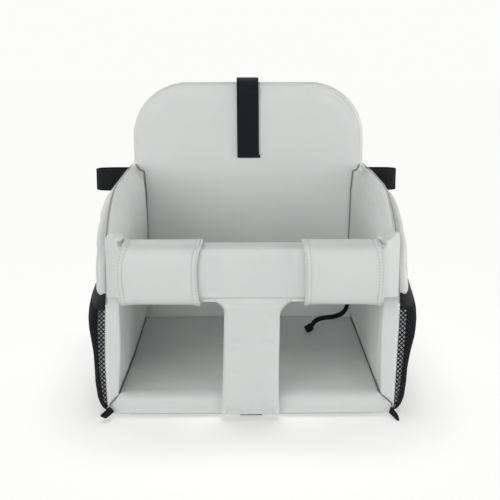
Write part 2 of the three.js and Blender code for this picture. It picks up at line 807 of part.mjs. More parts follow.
function makeTopStrap() {
  const frontLine = backFront - backCrown - frontStandOff - webThickness / 2;
  const rearLine = strapRear;
  const middle = (frontLine + rearLine) / 2;
  const reach = (rearLine - frontLine) / 2;
  const steps = 2 * shoulderSteps;
  const arch = Array.from({ length: steps + 1 }, (_, i) => {
    const angle = Math.PI * (1 - i / steps);
    return [middle + reach * Math.cos(angle), topStrapStart + topStrapArch * Math.sin(angle)];
  });
  const path = [[frontLine, topStrapFrontEnd], ...arch, [rearLine, topStrapRearEnd]];
  return prism(strip(path, webThickness), -webWidth / 2, webWidth / 2, 'x');
}

// A flat frame slid onto webbing, modelled about its own middle with the webbing along x.
function makeSlider(width) {
  const outY = webThickness / 2 + sliderFit + sliderWall / 2;
  const outZ = width / 2 + sliderFit + sliderWall;
  const body = block(-sliderLength / 2, sliderLength / 2, -outY, outY, -outZ, outZ);
  const gapY = webThickness / 2 + sliderFit;
  const gapZ = width / 2 + sliderFit;
  const way = block(-sliderLength, sliderLength, -gapY, gapY, -gapZ, gapZ);
  const [openX, openZ] = [sliderLength / 2 - sliderWall, gapZ - sliderWall];
  const window = block(-openX, openX, -2 * outY, 0, -openZ, openZ);
  return cut(body, way, window);
}

// Chair belts: each leaves the back pad's rear face, folds round at its reach and runs to the buckle.
const beltNear = backFront + backThickness + touch + webThickness / 2;
const beltFar = beltNear + beltSpread;

function makeChairBelt(inEnd) {
  const fold = beltSpread / 2;
  const turn = Array.from({ length: 2 * cornerSteps + 1 }, (_, i) => {
    const angle = -0.5 * Math.PI + (i / (2 * cornerSteps)) * Math.PI;
    return [-(beltReach - fold + fold * Math.cos(angle)), beltNear + fold + fold * Math.sin(angle)];
  });
  const near = [[-beltSewnIn, beltNear], [-backHalf, beltNear]];
  const path = [...near, ...turn, [-beltReach * 0.7, beltFar], [-inEnd, beltFar]];
  const half = webWidth / 2;
  return prism(strip(path, webThickness), beltHeight - half, beltHeight + half, 'z');
}

// Side-release buckle, modelled about the socket's mouth with the plug entering from +x.
const prongSlot = prongThickness / 2 + prongFit;

function makeSocket() {
  const half = buckleThickness / 2;
  const wide = buckleWidth / 2;
  const body = prism(roundedRect(-socketLength, 0, -wide, wide, [prongWidth]), -half, half, 'y');
  const room = prongLength + 2 * prongFit;
  const high = prongPitch / 2 + prongWidth / 2 + prongFit;
  const way = block(-room, cutOverrun, -prongSlot, prongSlot, -high, high);
  const reach = wide + cutOverrun;
  const sides = block(-room * 0.75, -room * 0.35, -prongSlot, prongSlot, -reach, reach);
  return cut(body, way, sides);
}

function makePlug() {
  const half = buckleThickness / 2;
  const wide = buckleWidth / 2;
  const base = prism(roundedRect(touch, plugBaseLength, -wide, wide, [prongWidth / 2]), -half, half, 'y');
  const [slotStart, slotEnd] = [0.45, 0.68].map((share) => plugBaseLength * share);
  const slot = block(slotStart, slotEnd, -buckleThickness, buckleThickness, -webWidth / 2, webWidth / 2);
  const prongs = [-1, 1].map((side) => {
    const middle = (side * prongPitch) / 2;
    const low = middle - prongWidth / 2;
    return block(-prongLength, touch * 2, -prongThickness / 2, prongThickness / 2, low, low + prongWidth);
  });
  return join(cut(base, slot), ...prongs);
}

// Corner tab: a folded webbing loop at the seat's front corner, modelled about its root.
function makeCornerTab() {
  const half = cornerTabWidth / 2;
  const outline = roundedRect(-half, half, -cornerTabLength, 0, [half / 2]);
  return prism(outline, -cornerTabThickness / 2, cornerTabThickness / 2, 'y');
}

// Tether tail: a narrow strap that leaves the crease at the rear right and lies on the seat.
const tailRoute = [
  [141, 151, 47],
  [139.5, 147.5, 48],
  [138, 143, 48.5],
  [135.5, 137, 48.5],
  [132, 130, 48.5],
  [128, 123, 47.5],
  [124, 116, 46.5],
  [119, 109, 45],
  [114, 102, 43.5],
  [109.5, 96, 42],
  [105, 91, 40.5],
  [101, 86, 39],
  [97, 82, 37],
  [94, 78.5, 35.5],
  [91, 75.5, 34],
];

function makeTail() {
  const curve = new THREE.CatmullRomCurve3(tailRoute.map((p) => new THREE.Vector3(...p)));
  const [wide, thick, bevel] = [tailWidth / 2, tailThickness / 2, tailThickness / 4];
  const quarter = [[wide, thick - bevel], [wide - bevel, thick]];
  const half = [...quarter, ...quarter.map(([a, b]) => [-a, b]).reverse()];
  const outline = [...half, ...half.map(([a, b]) => [-a, -b])];
  const section = new THREE.Shape(outline.map(([a, b]) => new THREE.Vector2(a, b)));
  return new THREE.ExtrudeGeometry(section, { steps: 2 * tailRoute.length, extrudePath: curve });
}

function makeTailEnd() {
  const half = tailEndWidth / 2;
  const outline = roundedRect(-half, half, 0, tailEndLength, [half / 3]);
  return prism(outline, -tailEndThickness / 2, tailEndThickness / 2, 'z');
}

// Assembly: everything is drawn in the seat's frame, and each body is a group on its hinge.
const group = new THREE.Group();
group.name = 'chair_booster_seat';

function body(x, y, z) {
  const frame = new THREE.Group();
  frame.position.set(x, y, z);
  frame.userData.place = [x, y, z];
  return frame;
}

// Adds pieces drawn in the seat's frame to a body.
function carry(frame, ...pieces) {
  const [x, y, z] = frame.userData.place;
  for (const mesh of pieces) {
    mesh.position.sub(new THREE.Vector3(x, y, z));
    frame.add(mesh);
  }
  return frame;
}

const base = body(0, 0, 0);
carry(
  base,
  piece('base_mat', makeMat(), rubberMat),
  piece('base_strap', makeBaseStrap(), webbing),
  piece('seat_cover', makeSeatCover(), coatedFabric),
  piece('seat_board', makeSeatCore(seatBoardLow, seatBoardThickness), board),
  piece('seat_foam', makeSeatCore(seatFoamLow, seatFoamHeight), foam),
);
group.add(base);

const back = body(0, backFront + backHeel * backThickness, backLow);
carry(
  back,
  piece('back_cover', makeBackCover(), coatedFabric),
  piece('back_foam', makeBackSheet(backCoreStart, backFoamThickness), foam),
  piece('back_board', makeBackSheet(backBoardStart, backBoardThickness), board),
  piece('top_strap', makeTopStrap(), webbing),
  piece('chair_belt_left', makeChairBelt(socketLength + touch), webbing),
  piece('chair_belt_right', mirrored(makeChairBelt(plugBaseLength + touch)), webbing),
);
group.add(back);

const socket = piece('buckle_socket', makeSocket(), hardware);
socket.position.set(0, beltFar, beltHeight);
const plugBody = body(0, beltFar, beltHeight);
plugBody.add(piece('buckle_plug', makePlug(), hardware));
const beltSlider = piece('belt_slider', makeSlider(webWidth), hardware);
beltSlider.rotation.z = Math.PI;
beltSlider.position.set(-beltSliderPlace, beltFar, beltHeight);
const strapSlider = piece('strap_slider', makeSlider(webWidth), hardware);
const [xAxis, yAxis, zAxis] = axes();
strapSlider.setRotationFromMatrix(new THREE.Matrix4().makeBasis(zAxis, yAxis.negate(), xAxis));
strapSlider.position.set(0, strapRear, strapSliderPlace);
carry(back, socket, plugBody, beltSlider, strapSlider);

for (const [side, sign] of [['left', -1], ['right', 1]]) {
  const tab = piece(`corner_tab_${side}`, makeCornerTab(), webbing);
  tab.rotation.y = -sign * cornerTabLean;
  tab.position.set(sign * cornerTabPlace, -seatNose - touch - cornerTabThickness / 2, cornerTabRise);
  base.add(tab);
}

const tail = piece('tether_tail', makeTail(), webbing);
const tailEnd = piece('tether_tail_end', makeTailEnd(), webbing);
const tailTip = new THREE.Vector3(...tailRoute.at(-1));
const tailRun = tailTip.clone().sub(new THREE.Vector3(...tailRoute.at(-2))).normalize();
tailEnd.position.copy(tailTip).addScaledVector(tailRun, touch);
tailEnd.setRotationFromMatrix(new THREE.Matrix4().makeBasis(
  new THREE.Vector3(tailRun.y, -tailRun.x, 0).normalize(), tailRun,
  new THREE.Vector3(tailRun.y, -tailRun.x, 0).normalize().cross(tailRun)));
base.add(tail, tailEnd);

for (const [side, turn, sign] of [['left', (g) => g, -1], ['right', mirrored, 1]]) {
  const frame = body(sign * seatInnerHalf, 0, seatTop);
  carry(
    frame,
    piece(`side_cover_${side}`, turn(makeSideCover()), coatedFabric),
    piece(`side_foam_${side}`, turn(makeSideSheet(sideFoamStart, sideFoamThickness)), foam),
    piece(`side_board_${side}`, turn(makeSideSheet(sideBoardStart, sideBoardThickness)), board),
    piece(`wing_pad_${side}`, turn(makeWing()), coatedFabric),
    piece(`pocket_net_${side}`, turn(makeNet()), netting),
    piece(`pocket_band_${side}`, turn(makePocketBand()), binding),
  );
  group.add(frame);
}

const guardHinge = [0, -crotchFront + guardFoldIn, crotchFoot];
const guard = body(...guardHinge);
const barFoamSplit = -barFront + barWall + foamFit + barFoamFront;
const barBoardRear = barFoamSplit + foamFit + barBoardThickness;
carry(
  guard,
  piece('bar_cover', makeBarCover(), coatedFabric),
  piece('bar_foam', makeBarInsert(barFoamSplit - barFoamFront, barFoamSplit, barRound - barWall), foam),
  piece('bar_board', makeBarInsert(barFoamSplit + foamFit, barBoardRear, barBoardThickness / 5), board),
  piece('crotch_cover', makeCrotchCover(), coatedFabric),
  piece('crotch_foam', makeCrotchCore(0), foam),
);
group.add(guard);

for (const [side, turn] of [['left', (g) => g], ['right', mirrored]]) {
  carry(
    guard,
    piece(`end_tab_${side}`, turn(makeEndTab()), coatedFabric),
    piece(`cuff_base_${side}`, turn(makeCuffBase()), coatedFabric),
    piece(`loop_patch_${side}`, turn(cuffPatch(loopTop)), hookTape),
  );
  const flap = body(0, cuffHingeY, cuffHingeZ);
  carry(
    flap,
    piece(`cuff_flap_${side}`, turn(makeCuffFlap()), coatedFabric),
    piece(`hook_patch_${side}`, turn(cuffPatch(hookTop)), hookTape),
  );
  carry(guard, flap);
}

export default group;
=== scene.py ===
# Chair booster seat: the looks of a padded seat for a dining chair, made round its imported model.
# Metres, +Z up. The child faces -Y and +X is to the right in the photograph.
import math

import bmesh
import bpy
import numpy as np
from mathutils import Matrix, Vector, noise


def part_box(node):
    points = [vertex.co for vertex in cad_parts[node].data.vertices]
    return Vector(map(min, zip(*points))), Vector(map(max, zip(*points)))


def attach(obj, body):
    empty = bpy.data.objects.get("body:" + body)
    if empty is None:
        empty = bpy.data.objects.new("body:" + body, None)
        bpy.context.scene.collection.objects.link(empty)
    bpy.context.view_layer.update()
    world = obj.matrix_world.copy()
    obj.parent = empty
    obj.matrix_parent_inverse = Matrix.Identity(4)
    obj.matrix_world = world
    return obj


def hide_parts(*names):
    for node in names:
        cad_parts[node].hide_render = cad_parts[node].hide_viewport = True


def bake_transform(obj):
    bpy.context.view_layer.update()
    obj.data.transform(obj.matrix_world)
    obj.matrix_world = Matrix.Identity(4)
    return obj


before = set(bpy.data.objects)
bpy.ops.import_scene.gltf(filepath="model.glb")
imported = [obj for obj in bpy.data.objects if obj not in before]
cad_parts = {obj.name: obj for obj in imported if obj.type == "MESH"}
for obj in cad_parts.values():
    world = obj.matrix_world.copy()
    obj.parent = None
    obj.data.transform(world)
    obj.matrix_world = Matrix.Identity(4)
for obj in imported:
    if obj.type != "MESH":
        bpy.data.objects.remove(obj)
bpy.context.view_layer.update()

mm = 0.001

# Camera: a long lens a little above the seat, as the photograph was taken. Its place and focal
# length come from the seat's front crest and rear creases, matched in the photograph's frame.
camera_place = Vector((-13.2, -1258.3, 433.4)) * mm
camera_turn = math.radians(-0.62)
camera_rise = math.radians(12.43)
focal_pixels = 1040
frame_pixels = 500
sensor = 36

lens = bpy.data.cameras.new("photo_camera")
lens.sensor_width = sensor
lens.lens = focal_pixels * sensor / frame_pixels
camera = bpy.data.objects.new("photo_camera", lens)
bpy.context.scene.collection.objects.link(camera)
camera.location = camera_place
backwards = Vector((
    math.sin(camera_turn) * math.cos(camera_rise),
    -math.cos(camera_turn) * math.cos(camera_rise),
    math.sin(camera_rise),
))
camera.rotation_euler = (-backwards).to_track_quat("-Z", "Y").to_euler()
bpy.context.scene.camera = camera


# Tether tail: a narrow black strap that comes out of the crease at the seat's rear right corner and
# curls down onto the seat. It is woven polyester, folded and stitched at its end.
tail_route = [
    (141, 151.5, 47.5), (134.9, 131.2, 41.6), (126.0, 114.8, 40.0), (114.1, 103.5, 39.6),
    (101.6, 96.8, 40.0), (92.8, 90.1, 39.6), (87.5, 80.6, 38.2), (83.9, 69.7, 37.0),
]
tail_width = 6.4 * mm
tail_thickness = 1.8 * mm
webbing_black = "#141518"
webbing_rib = "#1f2023"
rib_pitch = 1.9 * mm  # real ribs are 1.2 mm apart, drawn coarser so that they show
tip_length = 11 * mm
tip_width = 9.8 * mm
tip_thickness = 3.6 * mm
tip_across = Vector((0.6, 0, -0.8))


def linear(hex_colour):
    """An sRGB hex colour as the linear colour that a shader takes."""
    parts = [int(hex_colour[i:i + 2], 16) / 255 for i in (1, 3, 5)]
    return tuple(c / 12.92 if c <= 0.04045 else ((c + 0.055) / 1.055) ** 2.4 for c in parts) + (1,)


def node(tree, kind, settings=(), inputs=()):
    """Adds a node with its settings, and gives each named input a value or a link."""
    made = tree.nodes.new(kind)
    for name, value in dict(settings).items():
        setattr(made, name, value)
    for name, value in dict(inputs).items():
        if isinstance(value, bpy.types.NodeSocket):
            tree.links.new(value, made.inputs[name])
        else:
            made.inputs[name].default_value = value
    return made


def finish_with(name, roughness, specular=0.5, sheen=0.0):
    """A new material, its node tree and its Principled shader."""
    material = bpy.data.materials.new(name)
    material.use_nodes = True
    tree = material.node_tree
    shader = tree.nodes["Principled BSDF"]
    shader.inputs["Roughness"].default_value = roughness
    shader.inputs["Specular IOR Level"].default_value = specular
    shader.inputs["Sheen Weight"].default_value = sheen
    return material, tree, shader


def woven_webbing(name, base, light, pitch):
    """Woven polyester webbing: dull black, with fine ribs across its length and a soft sheen."""
    material, tree, shader = finish_with(name, 0.7, specular=0.1)
    spot = node(tree, "ShaderNodeUVMap", {"uv_map": "along"})
    parts = node(tree, "ShaderNodeSeparateXYZ", {}, {"Vector": spot.outputs["UV"]})
    turns = 2 * math.pi / pitch
    along = node(tree, "ShaderNodeMath", {"operation": "MULTIPLY"}, {0: parts.outputs["Y"], 1: turns})
    across = node(tree, "ShaderNodeMath", {"operation": "MULTIPLY"}, {0: parts.outputs["X"], 1: turns})
    rib = node(tree, "ShaderNodeMath", {"operation": "SINE"}, {0: along.outputs[0]})
    warp = node(tree, "ShaderNodeMath", {"operation": "SINE"}, {0: across.outputs[0]})
    weave = node(tree, "ShaderNodeMath", {"operation": "MULTIPLY"}, {0: rib.outputs[0], 1: warp.outputs[0]})
    relief = node(tree, "ShaderNodeMath", {"operation": "MULTIPLY_ADD"},
                  {0: weave.outputs[0], 1: 0.35, 2: rib.outputs[0]})
    shade = node(tree, "ShaderNodeMapRange", {}, {
        "Value": relief.outputs[0], "From Min": -1.2, "From Max": 1.2})
    tint = node(tree, "ShaderNodeMix", {"data_type": "RGBA"}, {
        "Factor": shade.outputs["Result"], 6: linear(base), 7: linear(light)})
    tree.links.new(tint.outputs[2], shader.inputs["Base Color"])
    bump = node(tree, "ShaderNodeBump", {}, {
        "Strength": 0.5, "Distance": 0.35 * mm, "Height": relief.outputs[0]})
    tree.links.new(bump.outputs["Normal"], shader.inputs["Normal"])
    return material


webbing = woven_webbing("black_polyester_webbing", webbing_black, webbing_rib, rib_pitch)


def smooth_line(points, steps):
    """Points on the smooth line through a few points, in metres."""
    ends = [2 * points[0] - points[1], *points, 2 * points[-1] - points[-2]]
    line = []
    for a, b, c, d in zip(ends, ends[1:], ends[2:], ends[3:]):
        for i in range(steps):
            t = i / steps
            line.append(0.5 * (2 * b + (c - a) * t + (2 * a - 5 * b + 4 * c - d) * t * t
                               + (3 * b - a - 3 * c + d) * t ** 3))
    return [*line, points[-1]]


def new_piece(name, bm, material, body):
    """Makes a finished bmesh a named piece that rides on a body."""
    mesh = bpy.data.meshes.new(name)
    bm.to_mesh(mesh)
    bm.free()
    mesh.materials.append(material)
    piece = bpy.data.objects.new(name, mesh)
    bpy.context.scene.collection.objects.link(piece)
    for face in mesh.polygons:
        face.use_smooth = True
    if body:
        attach(piece, body)
    return piece


def strap(name, line, across, width, thickness, material, body, edge=0.35):
    """A flat strap along a line of points. Its width lies along across, a way or a function of the
    share of the length, and its edges are rounded by a share of its thickness."""
    rows = len(line) - 1
    lengths = np.cumsum([0, *[(b - a).length for a, b in zip(line, line[1:])]])
    bm = bmesh.new()
    uv = bm.loops.layers.uv.new("along")
    bmesh.ops.create_grid(bm, x_segments=6, y_segments=rows, size=0.5, calc_uvs=True)
    for face in bm.faces:
        for loop in face.loops:
            step = round((loop.vert.co.y + 0.5) * rows)
            loop[uv].uv = (loop.vert.co.x * width, lengths[step])
    for vert in bm.verts:
        step = round((vert.co.y + 0.5) * rows)
        run = (line[min(step + 1, rows)] - line[max(step - 1, 0)]).normalized()
        side = across(step / rows) if callable(across) else across
        side = (side - run * side.dot(run)).normalized()
        up = run.cross(side)
        share = vert.co.x
        vert.co = line[step] + side * (share * width) - up * (thickness / 2)
    bmesh.ops.recalc_face_normals(bm, faces=bm.faces[:])
    bmesh.ops.solidify(bm, geom=bm.faces[:], thickness=-thickness)
    bmesh.ops.recalc_face_normals(bm, faces=bm.faces[:])
    piece = new_piece(name, bm, material, body)
    rounding = piece.modifiers.new("edge", "BEVEL")
    rounding.width = thickness * edge
    rounding.segments = 2
    rounding.limit_method = "ANGLE"
    return piece


tail_points = [Vector(p) * mm for p in tail_route]
tail_line = smooth_line(tail_points, 3)


def tail_across(share):
    """The tail stands on its edge, and turns a little along its curve."""
    turn = math.radians(np.interp(share, [0, 0.3, 0.5, 0.7, 1], [40, 25, 12, 25, 40]))
    return Vector((math.sin(turn), 0, -math.cos(turn)))


tail = strap("tether_tail_strap", tail_line, tail_across, tail_width, tail_thickness, webbing, "seat")
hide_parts("tether_tail")

tip = tail_line[-1]
tip_run = Vector((-0.75, -0.5, -0.28)).normalized()
tip_line = [tip + tip_run * (0.3 * mm + tip_length * i / 6) for i in range(7)]
tail_end = strap("tether_tail_fold", tip_line, tip_across, tip_width, tip_thickness, webbing, "seat")
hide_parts("tether_tail_end")


# Seat pad: a flat pad of foam over a stiff board in coated fabric. Its front edge is rolled and a
# seam runs low along the front face, where the top panel is sewn to the base. The crotch pad's foot,
# sewn to that face, draws a small pucker into it at each side.
fabric_light = "#d6d8d6"
fabric_shade = "#cdd0ce"
grain_size = 1.5 * mm  # real grain is about 0.5 mm, drawn coarser so that it shows
cloud_size = 55 * mm
crease_size = 16 * mm
plump_frames = 20


def coated_fabric(name, light, shade):
    """Polyurethane-coated fabric: light grey, soft matt, with fine pressed grain and faint creases."""
    material, tree, shader = finish_with(name, 0.47, specular=0.4)
    place = node(tree, "ShaderNodeTexCoord").outputs["Object"]
    clouds = node(tree, "ShaderNodeTexNoise", {}, {"Vector": place, "Scale": 1 / cloud_size, "Detail": 2})
    tint = node(tree, "ShaderNodeMix", {"data_type": "RGBA"}, {
        "Factor": clouds.outputs["Fac"], 6: linear(light), 7: linear(shade)})
    tree.links.new(tint.outputs[2], shader.inputs["Base Color"])
    dull = node(tree, "ShaderNodeMapRange", {}, {
        "Value": clouds.outputs["Fac"], "To Min": 0.42, "To Max": 0.52})
    tree.links.new(dull.outputs["Result"], shader.inputs["Roughness"])
    grain = node(tree, "ShaderNodeTexVoronoi", {"feature": "SMOOTH_F1"}, {
        "Vector": place, "Scale": 1 / grain_size, "Smoothness": 0.6})
    creases = node(tree, "ShaderNodeTexNoise", {}, {
        "Vector": place, "Scale": 1 / crease_size, "Detail": 3, "Roughness": 0.45})
    fine = node(tree, "ShaderNodeBump", {}, {
        "Strength": 0.18, "Distance": 0.12 * mm, "Height": grain.outputs["Distance"]})
    soft = node(tree, "ShaderNodeBump", {}, {
        "Strength": 0.25, "Distance": 0.8 * mm, "Height": creases.outputs["Fac"],
        "Normal": fine.outputs["Normal"]})
    tree.links.new(soft.outputs["Normal"], shader.inputs["Normal"])
    return material


fabric = coated_fabric("grey_coated_fabric", fabric_light, fabric_shade)


def cut_block(low, high, steps):
    """A block whose faces are cut into a grid, with steps the size of a cell along each axis."""
    bm = bmesh.new()
    bmesh.ops.create_cube(bm, size=1.0)
    for axis in range(3):
        runs = [e for e in bm.edges if abs((e.verts[0].co - e.verts[1].co)[axis]) > 0.9]
        cuts = max(round((high[axis] - low[axis]) / steps[axis]) - 1, 1)
        bmesh.ops.subdivide_edges(bm, edges=runs, cuts=cuts, use_grid_fill=True)
    size = high - low
    middle = (low + high) / 2
    bmesh.ops.scale(bm, vec=size, verts=bm.verts)
    bmesh.ops.translate(bm, vec=middle, verts=bm.verts)
    return bm


def points_of(bm):
    """The mesh's points as rows of x, y and z."""
    return np.array([v.co for v in bm.verts], float)


def move_to(bm, points):
    """Puts the mesh's points at new places."""
    for vert, place in zip(bm.verts, points):
        vert.co = place


def crowd(points, low, high, axis, strength=0.45):
    """Draws the cuts along an axis towards both ends, where the edges are rolled."""
    share = (points[:, axis] - low[axis]) / (high[axis] - low[axis]) * 2 - 1
    share = share + strength * np.sin(math.pi * share) / math.pi
    points[:, axis] = low[axis] + (share + 1) / 2 * (high[axis] - low[axis])


def round_pad(bm, low, high, deep, corners, near, far):
    """Rounds a cut block into a pad. deep is the axis of its thickness; corners are the radii of its
    outline at each corner, and near and far give each rim's roll (across, deep) by the way it faces.
    Returns each point's distance in from the outline, and the way its nearest rim faces."""
    wide, tall = [k for k in range(3) if k != deep]
    points = points_of(bm)
    span = [(points[:, k] - low[k]) / (high[k] - low[k]) * 2 - 1 for k in range(3)]
    on_rim = (np.abs(span[wide]) > 0.9999) | (np.abs(span[tall]) > 0.9999)
    order = np.where(span[tall] < -0.9999, span[wide] + 1, np.where(
        span[wide] > 0.9999, span[tall] + 3, np.where(
            span[tall] > 0.9999, 5 - span[wide], 7 - span[tall])))
    for k in (wide, tall):
        crowd(points, low, high, k)
    for (side_wide, side_tall), (radius_wide, radius_tall) in corners.items():
        edge_wide = high[wide] if side_wide > 0 else low[wide]
        edge_tall = high[tall] if side_tall > 0 else low[tall]
        a = 1 - np.abs(points[:, wide] - edge_wide) / radius_wide
        b = 1 - np.abs(points[:, tall] - edge_tall) / radius_tall
        inside = (a > 0) & (b > 0)
        turned_a = a * np.sqrt(np.maximum(1 - b * b / 2, 0))
        turned_b = b * np.sqrt(np.maximum(1 - a * a / 2, 0))
        for k, turned in ((wide, edge_wide - side_wide * radius_wide * (1 - turned_a)),
                          (tall, edge_tall - side_tall * radius_tall * (1 - turned_b))):
            points[:, k] = np.where(inside, turned, points[:, k])
    rim = np.where(on_rim & (span[deep] < -0.9999))[0]
    rim = rim[np.argsort(order[rim])]
    loop = points[rim][:, [wide, tall]]
    ahead = np.roll(loop, -1, axis=0)
    run = ahead - loop
    facing = np.stack([run[:, 1], -run[:, 0]], axis=1)
    facing /= np.linalg.norm(facing, axis=1)[:, None]
    corner_facing = facing + np.roll(facing, 1, axis=0)
    corner_facing /= np.linalg.norm(corner_facing, axis=1)[:, None]
    plan = points[:, [wide, tall]]
    along = np.einsum("nsk,sk->ns", plan[:, None] - loop[None], run) / (run ** 2).sum(1)[None]
    along = np.clip(along, 0, 1)
    nearest = loop[None] + along[..., None] * run[None]
    gap = np.linalg.norm(plan[:, None] - nearest, axis=2)
    best = gap.argmin(1)
    rows = np.arange(len(plan))
    inward = gap[rows, best]
    share = along[rows, best][:, None]
    outward = corner_facing[best] * (1 - share) + np.roll(corner_facing, -1, axis=0)[best] * share
    outward /= np.linalg.norm(outward, axis=1)[:, None]
    for end, roll in ((low[deep], near), (high[deep], far)):
        across, thick = roll(outward) if callable(roll) else roll
        depth = np.abs(points[:, deep] - end)
        a = np.clip(1 - inward / across, 0, 1)
        b = np.clip(1 - depth / thick, 0, 1)
        shift = across * (1 - a * np.sqrt(1 - b * b / 2)) - inward
        sink = thick * (1 - b * np.sqrt(1 - a * a / 2))
        rolled = (a > 0) & (b > 0)
        shift = np.where(rolled, shift, 0)
        points[:, wide] -= outward[:, 0] * shift
        points[:, tall] -= outward[:, 1] * shift
        inner = end + np.sign(low[deep] + high[deep] - 2 * end) * sink
        points[:, deep] = np.where(rolled, inner, points[:, deep])
    move_to(bm, points)
    return inward, outward


def crown(inward, reach):
    """The swell of a pad's face: none at its rim, and full a reach in from it."""
    share = np.clip(inward / reach, 0, 1)
    return 1 - (1 - share) ** 2


def ripple(points, size, height, seed):
    """Soft unevenness of stuffing under fabric, the same in each run."""
    drift = Vector((seed * 7.3, seed * 3.1, seed * 1.7))
    return np.array([noise.noise(Vector(p) / size + drift) for p in points]) * height


def plump(piece, free, cap):
    """Lets the filling press the free part of a pad's cover out from its sewn edges, in a short cloth
    simulation, and eases what comes of it to less than a cap. Each point is free by a share."""
    mesh = piece.data
    before = np.array([v.co for v in mesh.vertices])
    sewn = piece.vertex_groups.new(name="sewn")
    sewn.add([int(i) for i in np.where(free <= 0)[0]], 1.0, "REPLACE")
    modifier = piece.modifiers.new("filling", "CLOTH")
    cloth = modifier.settings
    cloth.quality = 6
    cloth.mass = 0.25
    cloth.tension_stiffness = cloth.compression_stiffness = 22
    cloth.shear_stiffness = 12
    cloth.bending_stiffness = 2.5
    cloth.use_pressure = True
    cloth.uniform_pressure_force = 4.0
    cloth.shrink_min = -0.012
    cloth.effector_weights.gravity = 0
    cloth.vertex_group_mass = "sewn"
    modifier.point_cache.frame_end = plump_frames
    scene = bpy.context.scene
    for step in range(1, plump_frames + 1):
        scene.frame_set(step)
    pressed = piece.evaluated_get(bpy.context.evaluated_depsgraph_get())
    after = np.array([v.co for v in pressed.data.vertices])
    scene.frame_set(1)
    piece.modifiers.remove(modifier)
    piece.vertex_groups.remove(sewn)
    move = after - before
    size = np.linalg.norm(move, axis=1)[:, None]
    move *= cap * np.tanh(size / cap) / np.maximum(size, 1e-9) * np.minimum(free, 1)[:, None]
    for vert, place in zip(mesh.vertices, before + move):
        vert.co = place


def pad_piece(name, bm, points, body, free=None, cap=0, sign=1):
    """Makes a shaped block a soft pad in coated fabric. A left pad, mirrored from the right one, is
    turned right side out again, and plump() presses out what is free."""
    move_to(bm, points)
    if sign < 0:
        bmesh.ops.reverse_faces(bm, faces=bm.faces[:])
    pad = new_piece(name, bm, fabric, body)
    if free is not None:
        plump(pad, free, cap)
    smoother = pad.modifiers.new("smooth", "SUBSURF")
    smoother.levels = smoother.render_levels = 1
    return pad


seat_low, seat_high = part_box("seat_cover")
seat_flare = 12.2 * mm
seat_crown = 2.2 * mm
front_spread = {-1: 3.7 * mm, 1: 0.3 * mm}  # how much wider each side of the seat is at its front
seat_crest = seat_high.z - seat_crown
seat_top_half = seat_high.x - seat_flare
seam_height = 8 * mm
pucker_place = (38 * mm, 13 * mm)  # off the middle, and height
low = Vector((-seat_top_half, seat_low.y, seat_low.z))
high = Vector((seat_top_half, seat_high.y - 0.6 * mm, seat_crest))
bm = cut_block(low, high, Vector((5, 5, 2.4)) * mm)


def seat_roll(outward):
    """The top rim is rolled wide in front and tight along the side pads."""
    front = np.clip(-outward[:, 1], 0, 1) ** 2
    return (2.2 + 8.8 * front) * mm, (2.6 + 5.4 * front) * mm


front_corner, rear_corner = (4 * mm, 4 * mm), (3 * mm, 3 * mm)
corners = {(-1, -1): front_corner, (1, -1): front_corner, (-1, 1): rear_corner, (1, 1): rear_corner}
inward, outward = round_pad(bm, low, high, 2, corners, (2.5 * mm, 3 * mm), seat_roll)
points = points_of(bm)
drop = np.clip((seat_crest - points[:, 2]) / seat_flare, 0, 1)
edge = np.clip(np.abs(points[:, 0]) / seat_top_half, 0, 1) ** 12
spread = np.where(points[:, 0] > 0, front_spread[1], front_spread[-1])
spread = spread * np.clip((-30 * mm - points[:, 1]) / (115 * mm), 0, 1)
points[:, 0] += np.sign(points[:, 0]) * edge * (drop * seat_flare + (1 - drop) * (spread - 0.5 * mm))
upper = np.clip((points[:, 2] - seat_low.z) / (seat_crest - seat_low.z), 0, 1) ** 2
swell = crown(seat_top_half - np.abs(points[:, 0]), 30 * mm) * crown(points[:, 1] - low.y, 30 * mm)
swell *= crown(high.y - points[:, 1], 9 * mm)
points[:, 2] += upper * (seat_crown * swell + ripple(points, 60 * mm, 0.5 * mm, 1))
on_front = (outward[:, 1] < -0.5) * (inward < 3 * mm)
seam_band = np.exp(-((points[:, 2] - seam_height) / (1.3 * mm)) ** 2)
points[:, 1] += seam_band * on_front * 1.1 * mm
beside = (np.abs(points[:, 0]) - pucker_place[0]) / (3.5 * mm)
pucker = np.exp(-beside ** 2 - ((points[:, 2] - pucker_place[1]) / (5 * mm)) ** 2)
points[:, 1] += pucker * on_front * 1.8 * mm
free = (inward - 9 * mm) / (26 * mm) * (points[:, 2] > seat_crest - 1 * mm)
seat_pad = pad_piece("seat_pad", bm, points, "seat", free, 1.6 * mm)
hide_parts("seat_cover")


# Back pad: foam over a stiff board, with well rounded top corners and a boxed rim. It stands on its
# heel behind the seat, and its face is crowned very slightly.
back_low, back_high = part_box("back_cover")
back_crown = 1.2 * mm
side_slack = 0.8 * mm
top_slack = 1.6 * mm
low = Vector((back_low.x + side_slack, back_low.y + back_crown, back_low.z))
high = Vector((back_high.x - side_slack, back_high.y, back_high.z - top_slack))
bm = cut_block(low, high, Vector((4, 3, 4)) * mm)
top_round = (73 * mm, 73 * mm)
foot_round = (12 * mm, 12 * mm)
corners = {(-1, -1): foot_round, (1, -1): foot_round, (-1, 1): top_round, (1, 1): top_round}
inward = round_pad(bm, low, high, 1, corners, (6 * mm, 6 * mm), (7 * mm, 7 * mm))[0]
points = points_of(bm)
front = np.clip((high.y - points[:, 1]) / (high.y - low.y), 0, 1) ** 2
boxed = np.clip((points[:, 2] - 246 * mm) / (12 * mm), 0, 1)
piping = np.exp(-((inward - 6.5 * mm) / (1.3 * mm)) ** 2) * boxed
face = back_crown * crown(inward, 60 * mm) + ripple(points, 45 * mm, 0.45 * mm, 2)
points[:, 1] -= front * (face - 0.8 * mm * piping)
free = (inward - 8 * mm) / (14 * mm) * (front > 0.7)
